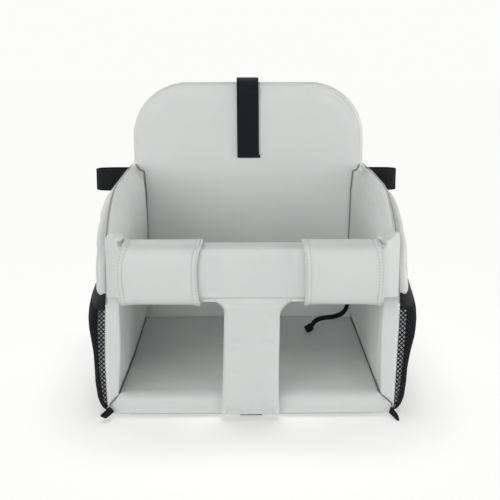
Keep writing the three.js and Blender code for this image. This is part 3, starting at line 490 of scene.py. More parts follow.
back_pad = pad_piece("back_pad", bm, points, "back", free, 1.8 * mm)
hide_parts("back_cover")


# Side pads: foam and a thin board in coated fabric. Low down the front is flat and turns tightly to
# the inner face; above the guard the inner face slopes out to the outer seam. The lower edge is
# mitred against the seat, to which it is sewn, and the outer panel swells beside the pocket's front.
# The seam turned in along the outline shows as a darker cord, partly the seam and partly painted shade of its
# recess, and dark strips in the creases to seat and back are painted shade of those gaps.
mitre_drop = 19 * mm
shoulder = (118 * mm, 76 * mm)
seam_inset = 2 * mm
side_edge = {  # height, and how far from the middle the outer seam runs there
    -1: [(7, 160.2), (16, 160.6), (60, 161.4), (100, 160.3), (140, 158.3), (243.6, 158)],
    1: [(7, 160), (22, 160.3), (60, 161.3), (100, 162.3), (124, 162.9), (140, 162.4), (155, 161.4),
        (205, 159), (243.6, 158)],
}
side_top = 243.6 * mm
slope_depth = 11 * mm
slope_front = 25 * mm
slope_top = 19 * mm
rear_drop = 9 * mm
top_tuck = {-1: 2 * mm, 1: 4 * mm}
puff_heights = [26, 60, 137, 200, 228, 243]
puff_sizes = [0, 2.6, 4.4, 3.3, 0.6, 0]
swell_places = [-156, -153.6, -151.6, -149, -145, -138, -126, -112, -104]
swell_sizes = [0, 1, 4, 8, 10.6, 11.6, 9, 3, 0]
swell_heights = [6, 14, 34, 100, 128, 142]
swell_shares = [0, 0.55, 0.8, 1, 0.95, 0]
# The seam cord's mid grey is partly the seam itself and partly painted shade of the recess it lies in.
seam_fabric = coated_fabric("shaded_seam_fabric", "#8e9190", "#868988")
# Painted shade: this dark grey stands for the shade in the gaps between the side pads and the seat and back.
crease_shade_fabric = coated_fabric("painted_crease_shade", "#626564", "#5b5e5d")
seam_size = 1.1 * mm
crease_shade_size = 1.2 * mm
hem_front = [  # y, z of the crease where it turns down the seat's front edge
    (-148, 26), (-152, 24.8), (-155, 22.4), (-156.8, 18.6), (-157.5, 14), (-157.7, 9), (-157.7, 4),
]


def side_roll(outward):
    """The inner face turns softly into the front and the top, and sharply along the back pad."""
    soft = 1 - np.clip(outward[:, 0], 0, 1) ** 2
    return (1.4 + 1.4 * soft) * mm, (2.2 + 0.2 * soft) * mm


for side, sign in (("left", -1), ("right", 1)):
    box_low, box_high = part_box(f"side_cover_{side}")
    inner = min(abs(box_low.x), abs(box_high.x))
    outer = max(abs(box_low.x), abs(box_high.x)) - seam_inset
    low = Vector((inner, box_low.y, box_low.z))
    high = Vector((outer, box_high.y - 0.5 * mm, side_top))
    bm = cut_block(low, high, Vector((2, 3.2, 4)) * mm)
    corners = {(-1, -1): (2.5 * mm, 2.5 * mm), (1, -1): (3 * mm, 3 * mm)}
    corners.update({(1, 1): (4 * mm, 4 * mm), (-1, 1): shoulder})
    block = points_of(bm)
    inward, outward = round_pad(bm, low, high, 0, corners, side_roll, (1.4 * mm, 1.4 * mm))
    points = points_of(bm)
    depth = np.clip((points[:, 0] - inner) / (outer - inner), 0, 1)
    foot = np.clip(1 - (points[:, 2] - low.z) / (40 * mm), 0, 1)
    points[:, 2] += foot * (1 - np.clip(depth / 0.9, 0, 1)) * mitre_drop
    spread = front_spread[sign] * np.clip((-30 * mm - points[:, 1]) / (115 * mm), 0, 1)
    points[:, 0] += spread * (1 - depth) * np.clip((80 * mm - points[:, 2]) / (54 * mm), 0, 1)
    front, above = np.clip(-outward[:, 0], 0, 1) ** 2, np.clip(outward[:, 1], 0, 1) ** 2
    upper = np.clip((points[:, 2] - 150 * mm) / (52 * mm), 0, 1) ** 2
    reach = slope_front * front + slope_top * above + 1 * mm
    slope = np.clip(1 - inward / reach, 0, 1) ** 1.25 * (front * upper + above)
    points[:, 0] += slope * (1 - depth) * slope_depth
    heights, halves = np.array(side_edge[sign]).T * mm
    points[:, 0] += depth ** 2 * (np.interp(points[:, 2], heights, halves) - outer)
    rear_top = np.clip((points[:, 1] - 70 * mm) / (80 * mm), 0, 1)
    rear_top *= np.clip((points[:, 2] - 200 * mm) / (43 * mm), 0, 1)
    points[:, 2] -= rear_drop * rear_top * (1 - depth)
    points[:, 0] -= top_tuck[sign] * rear_top * depth
    face = (1 - depth) ** 2
    behind = np.clip((points[:, 1] + 130 * mm) / (200 * mm), 0.1, 1)
    puff = np.interp(points[:, 2], np.array(puff_heights) * mm, np.array(puff_sizes) * mm) * behind
    points[:, 0] -= face * (puff * (1 - slope) + ripple(points, 38 * mm, 0.7 * mm, 3 + sign))
    swell = np.interp(points[:, 1], np.array(swell_places) * mm, np.array(swell_sizes) * mm)
    swell *= np.interp(points[:, 2], np.array(swell_heights) * mm, swell_shares)
    points[:, 0] += depth ** 2 * swell
    points[:, 0] *= sign
    free = (inward - 4 * mm) / (8 * mm) * (face > 0.6)
    pad = pad_piece(f"side_pad_{side}", bm, points, f"side_{side}", free, 2.2 * mm, sign)
    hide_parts(f"side_cover_{side}")

    # A dark strip along the pad's rear edge and top: painted shade of the gap to the back pad.
    rear = block[:, 1] > high.y - 0.01 * mm
    upright = np.where(rear & (block[:, 0] < low.x + 0.01 * mm) & (block[:, 2] > 60 * mm))[0]
    ridge = np.where(rear & (block[:, 2] > high.z - 0.01 * mm) & (block[:, 0] > low.x + 0.01 * mm))[0]
    chain = [*upright[np.argsort(block[upright, 2])], *ridge[np.argsort(block[ridge, 0])]]
    line = [pad.data.vertices[int(i)].co + Vector((-1.2 * sign, 0.2, 0.3)) * mm for i in chain][::-sign]
    crease = strap(f"side_crease_shade_{side}", line, Vector((0, 1, 0)), crease_shade_size, crease_shade_size, crease_shade_fabric,
                   f"side_{side}")

    # A dark strip along the pad's joint to the seat: painted shade of that crease.
    hem = []
    for y, z in [(150 - 12 * i, 26.3) for i in range(25)] + hem_front:
        fall = min(max((26 - z) / 12.2, 0), 1)
        open_front = (front_spread[sign] - 0.5 * mm) * min(max((-30 - y) / 115, 0), 1)
        off = seat_top_half + fall * seat_flare + (1 - fall) * open_front
        hem.append(Vector((sign * off, y * mm, z * mm)))
    way = Vector((0, 0.5, 1))
    join = strap(f"side_joint_shade_{side}", hem[::-sign], way, crease_shade_size, crease_shade_size, crease_shade_fabric, "seat")

    # A grey cord along the outer seam: the seam, with painted shade of its recess.
    rise, reach = shoulder[1], shoulder[0]
    turns = [math.radians(3 * i) for i in range(31)]
    path = [(low.y, z * mm) for z in range(130, int((high.z - rise) / mm), 6)]
    path += [(low.y + reach * (1 - math.cos(t)), high.z - rise * (1 - math.sin(t))) for t in turns]
    path += [(low.y + reach + 12 * mm * i, high.z) for i in range(1, 16)]
    tuck = [top_tuck[sign] * np.clip((y - 70 * mm) / (80 * mm), 0, 1) for y, z in path]
    line = [Vector((sign * (np.interp(z, heights, halves) + 0.15 * mm - t), y, z - 0.25 * mm))
            for (y, z), t in zip(path, tuck)]
    seam = strap(f"side_seam_{side}", line, Vector((1, 0, 0)), seam_size, seam_size, seam_fabric,
                 f"side_{side}")


# Outer pads: a softer pad sewn to the outside of each side pad above its pocket. Its front edge
# stands out past the seam, and its lower end is rounded off above the pocket's mouth.
wing_shoulder = (118 * mm, 76 * mm)
wing_foot = (9 * mm, 11 * mm)
wing_rear = (6 * mm, 6 * mm)
wing_low = 137 * mm
for side, sign in (("left", -1), ("right", 1)):
    box_low, box_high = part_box(f"wing_pad_{side}")
    inner = min(abs(box_low.x), abs(box_high.x)) - seam_inset
    outer = max(abs(box_low.x), abs(box_high.x))
    low = Vector((inner, box_low.y, wing_low))
    high = Vector((outer, box_high.y, box_high.z))
    bm = cut_block(low, high, Vector((1.8, 4.6, 4.6)) * mm)
    corners = {(-1, -1): wing_foot, (1, -1): wing_rear, (1, 1): wing_rear, (-1, 1): wing_shoulder}
    inward = round_pad(bm, low, high, 0, corners, (1.2 * mm, 1.2 * mm), (8 * mm, 7 * mm))[0]
    points = points_of(bm)
    depth = np.clip((points[:, 0] - inner) / (outer - inner), 0, 1)
    points[:, 0] += depth * (ripple(points, 30 * mm, 0.6 * mm, 6 + sign) - 0.5 * mm)
    points[:, 0] += np.interp(points[:, 2], *np.array(side_edge[sign]).T * mm) - 158 * mm
    points[:, 0] *= sign
    free = (inward - 3 * mm) / (6 * mm) * (depth > 0.6)
    pad = pad_piece(f"outer_pad_{side}", bm, points, f"side_{side}", free, 2 * mm, sign)
    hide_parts(f"wing_pad_{side}")


# Guard bar: a long cushion of foam with a stiff strip along its rear. Its edges are well rounded, and
# the cover is closed underneath by a seam whose flange stands out as a thin lip below the front face.
bar_low, bar_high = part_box("bar_cover")
bar_crown = 1.2 * mm
low = Vector((bar_low.x, bar_low.y + bar_crown, bar_low.z - 2.2 * mm))
high = bar_high
bm = cut_block(low, high, Vector((4, 2.2, 2.8)) * mm)


def bar_roll(outward):
    """Small along the top and bottom edges, and tight at the sewn ends."""
    long_side = np.clip(np.abs(outward[:, 1]), 0, 1) ** 2
    return (2 + 2.2 * long_side) * mm, (2 + 2.2 * long_side) * mm


square = {(a, b): (2 * mm, 2 * mm) for a in (-1, 1) for b in (-1, 1)}
inward = round_pad(bm, low, high, 1, square, bar_roll, bar_roll)[0]
points = points_of(bm)
front = np.clip((high.y - points[:, 1]) / (high.y - low.y), 0, 1) ** 2
points[:, 1] -= front * (bar_crown * crown(inward, 22 * mm) + ripple(points, 34 * mm, 0.35 * mm, 9))
bar = pad_piece("guard_bar", bm, points, "guard", (inward - 3 * mm) / (5 * mm) * (front > 0.7), 1.2 * mm)
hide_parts("bar_cover")

lip_line = [Vector((bar_low.x + (bar_high.x - bar_low.x) * i / 40, low.y + 4.6 * mm, low.z - 0.4 * mm))
            for i in range(41)]
lip = strap("guard_bar_seam", lip_line, Vector((0, 0.3, 1)), 6 * mm, 1.3 * mm, fabric, "guard")


# Crotch pad: a narrow pad from the seat's front edge up to the bar. It leans forward, widens under the
# bar and at its foot, and is sewn across both ends, which draws small folds into its lower corners.
crotch_low, crotch_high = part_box("crotch_cover")
crotch_thickness = 14 * mm
crotch_lean = 15 * mm
crotch_half = 40 * mm
crotch_rear = crotch_high.y
crotch_right = [  # height, how far the right edge stands out beyond the left one's width
    (6, -2.2), (45, -1.2), (82, 0), (122, 1.4), (128, 2.3), (133, 4), (141, 3.6), (145.7, 3.6),
]
crotch_shape = [  # height, half width
    (6, 33.5), (9, 33.8), (13, 33.4), (18, 33), (24, 32.6), (35, 32), (60, 31), (90, 30.3), (112, 29.8),
    (126, 29.3), (130, 29.8), (133, 31.4), (136, 34.4), (139, 38.4), (141, 41), (145.7, 42.5),
]
low = Vector((-crotch_half, crotch_rear - crotch_thickness, crotch_low.z))
high = Vector((crotch_half, crotch_rear, crotch_high.z))
bm = cut_block(low, high, Vector((3, 2.4, 1.9)) * mm)


def crotch_roll(outward):
    """The long edges are round, and the sewn ends are flat."""
    long_side = np.clip(np.abs(outward[:, 0]), 0, 1) ** 2
    return (1.5 + 5 * long_side) * mm, (1.5 + 4.5 * long_side) * mm


inward = round_pad(bm, low, high, 1, square, crotch_roll, crotch_roll)[0]
points = points_of(bm)
heights, halves = np.array(crotch_shape, float).T * mm
width = np.interp(points[:, 2], heights, halves) / high.x
front = np.clip((high.y - points[:, 1]) / (high.y - low.y), 0, 1) ** 2
points[:, 1] -= front * (0.9 * mm * crown(inward, 26 * mm) + ripple(points, 26 * mm, 0.5 * mm, 12))
foot = np.exp(-((points[:, 2] - crotch_low.z) / (9 * mm)) ** 2)
corner = np.exp(-((np.abs(points[:, 0]) - 30 * mm) / (2.2 * mm)) ** 2)
points[:, 1] += front * foot * (2.5 * mm + 1.6 * mm * corner)
under = np.exp(-((points[:, 2] - 136 * mm) / (2 * mm)) ** 2)
points[:, 1] += front * under * 0.9 * mm
points[:, 0] *= width
heights, shifts = np.array(crotch_right).T * mm
points[:, 0] += np.interp(points[:, 2], heights, shifts) * np.clip(points[:, 0] / (28 * mm), 0, 1)
points[:, 1] -= crotch_lean * (points[:, 2] - crotch_low.z) / (crotch_high.z - crotch_low.z)
free = (inward - 3 * mm) / (5 * mm) * (front > 0.7)
crotch_pad = pad_piece("crotch_pad", bm, points, "guard", free, 1.2 * mm)
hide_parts("crotch_cover")


# End tabs: the flattened ends of the bar's cover, stitched into the side pads' front seams. Each
# puffs up at its outer top corner and is pinched where it meets the cuff.
tab_inner = 137 * mm
tab_reach = {-1: -0.4 * mm, 1: 3 * mm}
tab_peak = {-1: 0.5, 1: 0.9}  # where across the tab its top is highest
tab_puff = 4.6 * mm
tab_flat = 2.2 * mm
for side, sign in (("left", -1), ("right", 1)):
    box_low, box_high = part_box(f"end_tab_{side}")
    outer = max(abs(box_low.x), abs(box_high.x)) + tab_reach[sign]
    low = Vector((tab_inner, box_low.y, box_low.z))
    high = Vector((outer, box_high.y, box_high.z))
    bm = cut_block(low, high, Vector((1.4, 1.8, 2)) * mm)
    corners = {(-1, -1): (3 * mm, 3 * mm), (1, -1): (3 * mm, 3 * mm)}
    corners.update({(1, 1): (6 * mm, 5 * mm), (-1, 1): (4 * mm, 4 * mm)})
    round_pad(bm, low, high, 1, corners, (3.5 * mm, 7 * mm), (1.5 * mm, 1.5 * mm))
    points = points_of(bm)
    across = (points[:, 0] - tab_inner) / (outer - tab_inner)
    height = (points[:, 2] - low.z) / (high.z - low.z)
    front = np.clip((high.y - points[:, 1]) / (high.y - low.y), 0, 1)
    lying = across ** 1.8
    puff = np.exp(-((across - tab_peak[sign]) / 0.34) ** 2) * np.clip((height - 0.8) / 0.2, 0, 1)
    pinch = np.exp(-((across - 0.1) / 0.16) ** 2) * np.exp(-((height - 0.95) / 0.07) ** 2)
    fold = np.exp(-((points[:, 2] - low.z - 4.5 * mm) / (1 * mm)) ** 2)
    points[:, 2] += tab_puff * puff - 4 * mm * across ** 2 * np.clip(1 - height / 0.3, 0, 1)
    drawn = (1 - lying) * (6 * mm * pinch + 0.9 * mm * fold)
    points[:, 1] += front * (lying * (high.y - low.y - tab_flat) + drawn)
    points[:, 1] += front * ripple(points, 14 * mm, 0.8 * mm, 15)
    points[:, 0] *= sign
    tab = pad_piece(f"bar_end_{side}", bm, points, "guard", sign=sign)
    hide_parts(f"end_tab_{side}")


# Cuffs: a wide band of laminated fabric wrapped over the bar. Its rear half is sewn to the bar, and
# the front half is a flap that bows off the bar and closes underneath with hook and loop. Both free
# edges are turned in and sewn down with two rows of stitching.
cuff_thickness = 2.6 * mm
cuff_rear_thickness = 2.2 * mm
cuff_line = [  # y, z of the outer face, from the sewn rear over the top and down the front
    (-160.3, 188.2), (-160.3, 194), (-161, 198.5), (-163.6, 202.6), (-168, 204.9), (-174, 205.6),
    (-180, 205.7), (-185.5, 205.2), (-190, 203.7), (-193.6, 200.8), (-195.9, 196), (-197.3, 189),
    (-198.1, 180), (-198.3, 171), (-198.1, 162), (-197.3, 153), (-196, 147), (-193.8, 142.2),
    (-190, 138.7), (-185, 137.2), (-178, 137.1), (-166, 137.1),
]
cuff_edges = {  # height, outer edge and inner edge of the flap's front, off the middle
    "left": [(137.2, 138, 54.6), (142, 139.2, 55.4), (156, 141.4, 57.2), (170, 142.4, 58.2),
             (184, 141.6, 57.6), (195, 139, 55.8), (202, 136, 53.6), (206, 134.4, 52.2)],
    "right": [(137.2, 138.2, 56.6), (142, 138.8, 57), (156, 139.9, 57.6), (170, 140.3, 57.6),
              (184, 140, 57.2), (195, 138, 56), (202, 135.6, 54.6), (206, 134.2, 53.8)],
}
cuff_rear_line = [  # y, z of the sewn rear half's outer face
    (-160.3, 187.8), (-160.3, 170), (-160.3, 155), (-161, 148.5), (-164, 144.4), (-169, 143.4), (-180, 143.4),
]
cuff_rear_edges = (139.4 * mm, 57 * mm)
band_width = 84
stitch_rows = [1.7, 5.6]
stitch_pitch = 3.4
stitch_length = 2.3
stitch_size = 0.95
groove = 0.55 * mm


def path_frame(line):
    """Lengths along a line in y and z, and the way its outer side faces."""
    run = np.gradient(line, axis=0)
    run /= np.linalg.norm(run, axis=1)[:, None]
    lengths = np.concatenate([[0], np.cumsum(np.linalg.norm(np.diff(line, axis=0), axis=1))])
    return lengths, np.stack([run[:, 1], -run[:, 0]], axis=1)


def columns_across(width):
    """Where a band's cuts run: close together at its stitched edges, wider between them."""
    edge = [0, 0.5, 1.1, 1.7, 2.3, 3.4, 4.8, 5.6, 6.4, 8]
    middle = np.linspace(8, width - 8, 16)[1:-1]
    return np.array([*edge, *middle, *(width - np.array(edge[::-1]))]) * mm


def band(line, edges, flare, seed):
    """A thick band of fabric whose outer face follows a line in y and z. edges gives its outer and
    inner edge at a height, and flare lifts its corners off what it is wrapped round."""
    line = np.array([tuple(p)[:2] for p in smooth_line([Vector((y, z, 0)) * mm for y, z in line], 5)])
    lengths, facing = path_frame(line)
    steps = int(lengths[-1] / (2.2 * mm))
    stations = np.linspace(0, lengths[-1], steps + 1)
    ys, zs, ny, nz = (np.interp(stations, lengths, a) for a in (*line.T, *facing.T))
    across = columns_across(band_width)
    bm = bmesh.new()
    bmesh.ops.create_grid(bm, x_segments=len(across) - 1, y_segments=steps, size=0.5)
    sewn_rows = []
    for vert in bm.verts:
        column = round((vert.co.x + 0.5) * (len(across) - 1))
        row = round((vert.co.y + 0.5) * steps)
        share = across[column] / across[-1]
        out, inn = edges(zs[row], row / steps)
        x = inn + (out - inn) * share
        rim = min(across[column], across[-1] - across[column])
        lift = flare(row / steps) * max(0, 1 - rim / (16 * mm)) ** 2
        sink = groove * sum(math.exp(-((rim - s * mm) / (0.5 * mm)) ** 2) for s in stitch_rows)
        bulk = 0.35 * mm * math.sin(math.pi * min(rim / (6.5 * mm), 1)) ** 2
        uneven = noise.noise(Vector((x, ys[row], zs[row])) / (24 * mm) + Vector((seed, 0, 0))) * 0.5 * mm
        off = lift - sink + bulk + uneven
        vert.co = (x, ys[row] + ny[row] * off, zs[row] + nz[row] * off)
    for place in stitch_rows:
        for end in (place, band_width - place):
            for k in range(int(lengths[-1] / mm / stitch_pitch)):
                station = (k + 0.5) * stitch_pitch * mm
                y, z, a, b = (np.interp(station, lengths, v) for v in (*line.T, *facing.T))
                out, inn = edges(z, station / lengths[-1])
                lift = flare(station / lengths[-1]) * max(0, 1 - place / 16) ** 2 + 0.1 * mm
                spot = Vector((inn + (out - inn) * end / band_width, y + a * lift, z + b * lift))
                sewn_rows.append((spot, Vector((0, -b, a))))
    return bm, sewn_rows


def thicken(bm, thickness, outside, sign=1):
    """Gives a sheet a thickness behind the side that outside points to, and mirrors a left one."""
    bm.faces.ensure_lookup_table()
    bmesh.ops.recalc_face_normals(bm, faces=bm.faces[:])
    sample = bm.faces[len(bm.faces) // 2]
    sample.normal_update()
    if sample.normal.dot(outside) < 0:
        bmesh.ops.reverse_faces(bm, faces=bm.faces[:])
    bmesh.ops.solidify(bm, geom=bm.faces[:], thickness=thickness)
    bmesh.ops.recalc_face_normals(bm, faces=bm.faces[:])
    bmesh.ops.scale(bm, vec=(sign, 1, 1), verts=bm.verts)
    if sign < 0:
        bmesh.ops.reverse_faces(bm, faces=bm.faces[:])


thread = coated_fabric("grey_polyester_thread", "#c1c4c2", "#babdbb")


def stitches(bm, rows, length, size):
    """Adds short sewn threads to a mesh, each lying along its way at its spot."""
    for spot, way in rows:
        turn = way.to_track_quat("X", "Z").to_matrix().to_4x4()
        shape = Matrix.Translation(spot) @ turn @ Matrix.Diagonal((length / 2, size / 2, size / 2, 1))
        made = bmesh.ops.create_icosphere(bm, subdivisions=1, radius=1.0, matrix=shape)
        for vert in made["verts"]:
            for face in vert.link_faces:
                face.material_index = 1


for side, sign in (("left", -1), ("right", 1)):
    table = np.array(cuff_edges[side]) * mm

    def edges(z, share):
        """The flap's edges bow outwards at mid height."""
        lower = max(0, share - 0.93) / 0.07
        out, inn = np.interp(z, table[:, 0], table[:, 1]), np.interp(z, table[:, 0], table[:, 2])
        if share < 0.3:
            out, inn = table[-1, 1], table[-1, 2]
        return out - lower * 0.8 * mm, inn + lower * 0.8 * mm

    def flare(share):
        """The flap's lower corners curl off the bar, and a little at the top."""
        low_curl = 2.4 * mm * math.exp(-((share - 0.78) / 0.08) ** 2)
        return low_curl + 2.6 * mm * math.exp(-((share - 0.3) / 0.09) ** 2)

    bm, sewn_rows = band(cuff_line, edges, flare, 3.0 + sign)
    thicken(bm, cuff_thickness, Vector((0, -1, 0)), sign)
    stitches(bm, [(Vector((spot.x * sign, spot.y, spot.z)), way) for spot, way in sewn_rows],
             stitch_length * mm, stitch_size * mm)
    cuff = new_piece(f"cuff_{side}", bm, fabric, None)
    cuff.data.materials.append(thread)
    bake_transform(cuff)
    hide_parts(f"cuff_flap_{side}")

    bm, rows = band(cuff_rear_line, lambda z, share: cuff_rear_edges, lambda share: 0, 8.0)
    thicken(bm, cuff_rear_thickness, Vector((0, 1, 0)), sign)
    base = new_piece(f"cuff_rear_{side}", bm, fabric, "guard")
    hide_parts(f"cuff_base_{side}")


# Hook and loop tape: the patches that hold each flap shut under the bar. Both halves are white nylon
# with a dense rough pile, sewn on flat.
def grained(name, colour, finish, texture, size, strength, depth):
    """A material of one colour with a fine relief: finish holds its roughness, specular and sheen,
    and texture its kind, output, settings and inputs beside its scale."""
    material, tree, shader = finish_with(name, *finish)
    kind, output, settings, inputs = texture
    place = node(tree, "ShaderNodeTexCoord").outputs["Object"]
    relief = node(tree, kind, settings, {"Vector": place, "Scale": 1 / size, **inputs})
    bump = node(tree, "ShaderNodeBump", {}, {
        "Strength": strength, "Distance": depth, "Height": relief.outputs[output]})
    shader.inputs["Base Color"].default_value = linear(colour)
    tree.links.new(bump.outputs["Normal"], shader.inputs["Normal"])
    return material


pile = ("ShaderNodeTexNoise", "Fac", {}, {"Detail": 2})
sparks = ("ShaderNodeTexNoise", "Fac", {}, {"Detail": 1})
cells = ("ShaderNodeTexVoronoi", "Distance", {"feature": "F1"}, {})


def finish_node(name, material):
    """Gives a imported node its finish."""
    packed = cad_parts[name]
    for place in packed.material_slots:
        place.link = "OBJECT"
        place.material = material


tape = grained("white_hook_and_loop", "#d8d8d6", (0.85, 0.25, 0.3), pile, 1.4 * mm, 0.8, 0.5 * mm)
for side in ("left", "right"):
    finish_node(f"hook_patch_{side}", tape)
    finish_node(f"loop_patch_{side}", tape)


# Net pockets: one knitted net pocket outside each side pad, bulging most above mid height, with a
# black woven binding that draws its mouth tight against the side pad at both ends.
pocket_front = -153.5 * mm
pocket_rear = 112 * mm
pocket_heights = [6, 9, 12, 19, 35, 50, 68.6, 87, 96.5, 106, 115, 124, 133, 141]
pocket_reach = {  # how far the net stands from the middle at each height
    -1: [165, 170.4, 173, 176, 178.2, 178.5, 179.4, 182.5, 184.7, 186.1, 186.3, 184.8, 182, 178.8],
    1: [166, 171, 173.6, 176.6, 178.6, 179.4, 182.6, 187.4, 189.2, 190.6, 191.2, 189.6, 187.4, 185.4],
}
pocket_boxiness = [0.42] * 8 + [0.46, 0.52, 0.62, 0.72, 0.85, 0.95]
net_low = 6 * mm
net_top = 124 * mm
net_pitch = 5.2 * mm
net_rise = 5 * mm
net_thread = 1.4 * mm
net_bulge = 36 * mm  # what its bulge adds to the net's length
net_tuck = 1.5 * mm
band_top = 141 * mm


def pocket_plan(root, bulge, boxiness):
    """The pocket's outline seen from above, and the share of its length at each point."""
    turn = np.linspace(0, math.pi, 200)
    along = np.sign(np.cos(turn)) * np.abs(np.cos(turn)) ** boxiness
    out = np.sin(turn) ** boxiness
    out[[0, -1]] = 0
    middle = (pocket_front + pocket_rear) / 2
    half = (pocket_rear - pocket_front) / 2
    plan = np.stack([root + bulge * out, middle - half * along], axis=1)
    lengths = np.concatenate([[0], np.cumsum(np.linalg.norm(np.diff(plan, axis=0), axis=1))])
    return plan, lengths / lengths[-1]


def pocket_spot(share, z, sign):
    """A point on the pocket, a share of the way round it and at a height."""
    root = (np.interp(z / mm, *np.array(side_edge[sign]).T) + 0.4) * mm
    reach = np.interp(z / mm, pocket_heights, pocket_reach[sign]) * mm
    plan, lengths = pocket_plan(root, reach - root, np.interp(z / mm, pocket_heights, pocket_boxiness))
    return Vector((sign * np.interp(share, lengths, plan[:, 0]), np.interp(share, lengths, plan[:, 1]), z))


def black_textile(name, base, light, pitch):
    """Black knit or binding tape: dull, with a fine weave."""
    material, tree, shader = finish_with(name, 0.75, specular=0.1)
    place = node(tree, "ShaderNodeTexCoord").outputs["Object"]
    weave = node(tree, "ShaderNodeTexNoise", {}, {"Vector": place, "Scale": 1 / pitch, "Detail": 2})
    tint = node(tree, "ShaderNodeMix", {"data_type": "RGBA"}, {
        "Factor": weave.outputs["Fac"], 6: linear(base), 7: linear(light)})
    tree.links.new(tint.outputs[2], shader.inputs["Base Color"])
    bump = node(tree, "ShaderNodeBump", {}, {
        "Strength": 0.5, "Distance": 0.3 * mm, "Height": weave.outputs["Fac"]})
    tree.links.new(bump.outputs["Normal"], shader.inputs["Normal"])
    return material


knit = black_textile("black_nylon_net", "#1c1d20", "#2b2c30", 1.2 * mm)
binding = black_textile("black_woven_binding", "#191a1c", "#2a2b2e", 1.6 * mm)

for side, sign in (("left", -1), ("right", 1)):
    bm = bmesh.new()
    columns = round((pocket_rear - pocket_front + net_bulge) / net_pitch)
    rows = round((net_top - net_low) / net_rise)
    bmesh.ops.create_grid(bm, x_segments=columns, y_segments=rows, size=0.5)
    ties = bm.edges[:]
    bmesh.ops.poke(bm, faces=bm.faces[:])
    inside = [e for e in ties if len(e.link_faces) == 2]
    bmesh.ops.dissolve_edges(bm, edges=inside)
    for vert in bm.verts:
        z = net_low + (vert.co.y + 0.5) * (net_top + net_tuck - net_low)
        vert.co = pocket_spot(vert.co.x + 0.5, z, sign)
    bmesh.ops.recalc_face_normals(bm, faces=bm.faces[:])
    bmesh.ops.wireframe(bm, faces=bm.faces[:], thickness=net_thread, use_replace=True, use_boundary=True,
                        use_even_offset=True)
    net = new_piece(f"net_{side}", bm, knit, f"side_{side}")
    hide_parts(f"pocket_net_{side}")

    bm = bmesh.new()
    bmesh.ops.create_grid(bm, x_segments=120, y_segments=6, size=0.5)
    for vert in bm.verts:
        share = vert.co.x + 0.5
        z = net_top - 1.2 * mm + (vert.co.y + 0.5) * (band_top - net_top + 1.2 * mm)
        place = pocket_spot(share, z, sign)
        place.x += sign * 0.5 * mm
        vert.co = place
    thicken(bm, 1.6 * mm, Vector((sign, 0, 0)))
    mouth = new_piece(f"pocket_mouth_{side}", bm, binding, f"side_{side}")
    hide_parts(f"pocket_band_{side}")


# Top strap: 30 mm webbing that hangs over the back pad's top edge, standing slightly off it. Its end
# in front is folded back on itself and sewn down.
web_width = 29.4 * mm
web_thickness = 1.8 * mm
top_strap_line = [  # y, z of the strap's middle line
    (150.4, 252), (150.6, 262), (150.9, 280), (150.8, 300), (150.7, 322), (150.7, 340), (151, 347),
    (153.2, 351.6), (158.4, 354.8), (166.3, 356), (174.2, 354.8), (179.6, 351.6), (182, 346.4), (182.2, 335),
    (182.2, 300), (182.2, 262), (182.2, 236),
]
line = smooth_line([Vector((-0.4 - 0.9 * (i / 6 if i < 6 else 1), y, z)) * mm
                    for i, (y, z) in enumerate(top_strap_line)], 4)
top_strap = strap("top_strap_webbing", line, Vector((1, 0, 0)), web_width, web_thickness, webbing, "back")
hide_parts("top_strap")
fold_line = [Vector((0.9, 150.1 - 0.15, 251.4 + 4.2 * i / 4)) * mm for i in range(5)]
strap("top_strap_fold", fold_line, Vector((1, 0, 0)), web_width + 0.5 * mm, 2.9 * mm, webbing, "back")


# Chair belts: 30 mm webbing sewn to the back pad's rear face. Each stands out past the pad, folds round
# and runs behind the chair to the buckle.
belt_height = 216.7
near, far = 179.4, 202.4  # y of the belt's run along the pad, and of its run back to the buckle
for side, sign, fold, reach in (("left", -1, 210, 40.6), ("right", 1, 206.6, 20.6)):
    route = [
        (104, near), (125, near), (150, near), (175, near + 0.2), (192, near + 0.4), (fold - 6.5, near + 2.6),
        (fold - 1.4, near + 7), (fold, near + 11.5), (fold - 1.4, far - 7), (fold - 6.5, far - 2.6),
        (190, far), (160, far), (120, far), (80, far), (reach, far),
    ]
    line = smooth_line([Vector((sign * x, y, belt_height)) * mm for x, y in route], 4)
    belt = strap(f"chair_belt_{side}_webbing", line, Vector((0, 0, 1)), web_width, web_thickness, webbing,
                 "back")
    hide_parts(f"chair_belt_{side}")


# Buckle and sliders: moulded black acetal, satin, with a faint spark-eroded texture. Their edges are
# slightly rounded, as a mould leaves them.
acetal = grained("black_moulded_acetal", "#18191b", (0.42, 0.45), sparks, 0.8 * mm, 0.15, 0.1 * mm)
for name in ("buckle_socket", "buckle_plug", "belt_slider", "strap_slider"):
    finish_node(name, acetal)
    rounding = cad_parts[name].modifiers.new("edge", "BEVEL")
    rounding.width = 0.7 * mm
    rounding.segments = 2
    rounding.limit_method = "ANGLE"


# Corner tabs: short folded loops of black webbing let into the seams at the seat's front corners. They
# point down and forwards, and end just above the floor.
loop_width = 7.6 * mm
loop_thickness = 2.8 * mm
tab_ends = {  # root and tip of each loop
    -1: (Vector((-157.6, -159, 8)) * mm, Vector((-164.4, -175, 3.9)) * mm),
    1: (Vector((158.2, -158.4, 7)) * mm, Vector((165.4, -174, 3.9)) * mm),
}
for side, sign in (("left", -1), ("right", 1)):
    root, tip = tab_ends[sign]
    line = [root.lerp(tip, i / 8) for i in range(9)]
    flat = Vector((0, 1, 0)).cross(tip - root).normalized()

    def loop_across(share):
        """The loop turns edge on towards its fold."""
        turn = math.radians(15 + 50 * share)
        return flat * math.cos(turn) + Vector((0, math.sin(turn), 0))

    tab = strap(f"corner_loop_{side}", line, loop_across, loop_width, loop_thickness, webbing, "seat",
                edge=0.45)
    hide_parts(f"corner_tab_{side}")


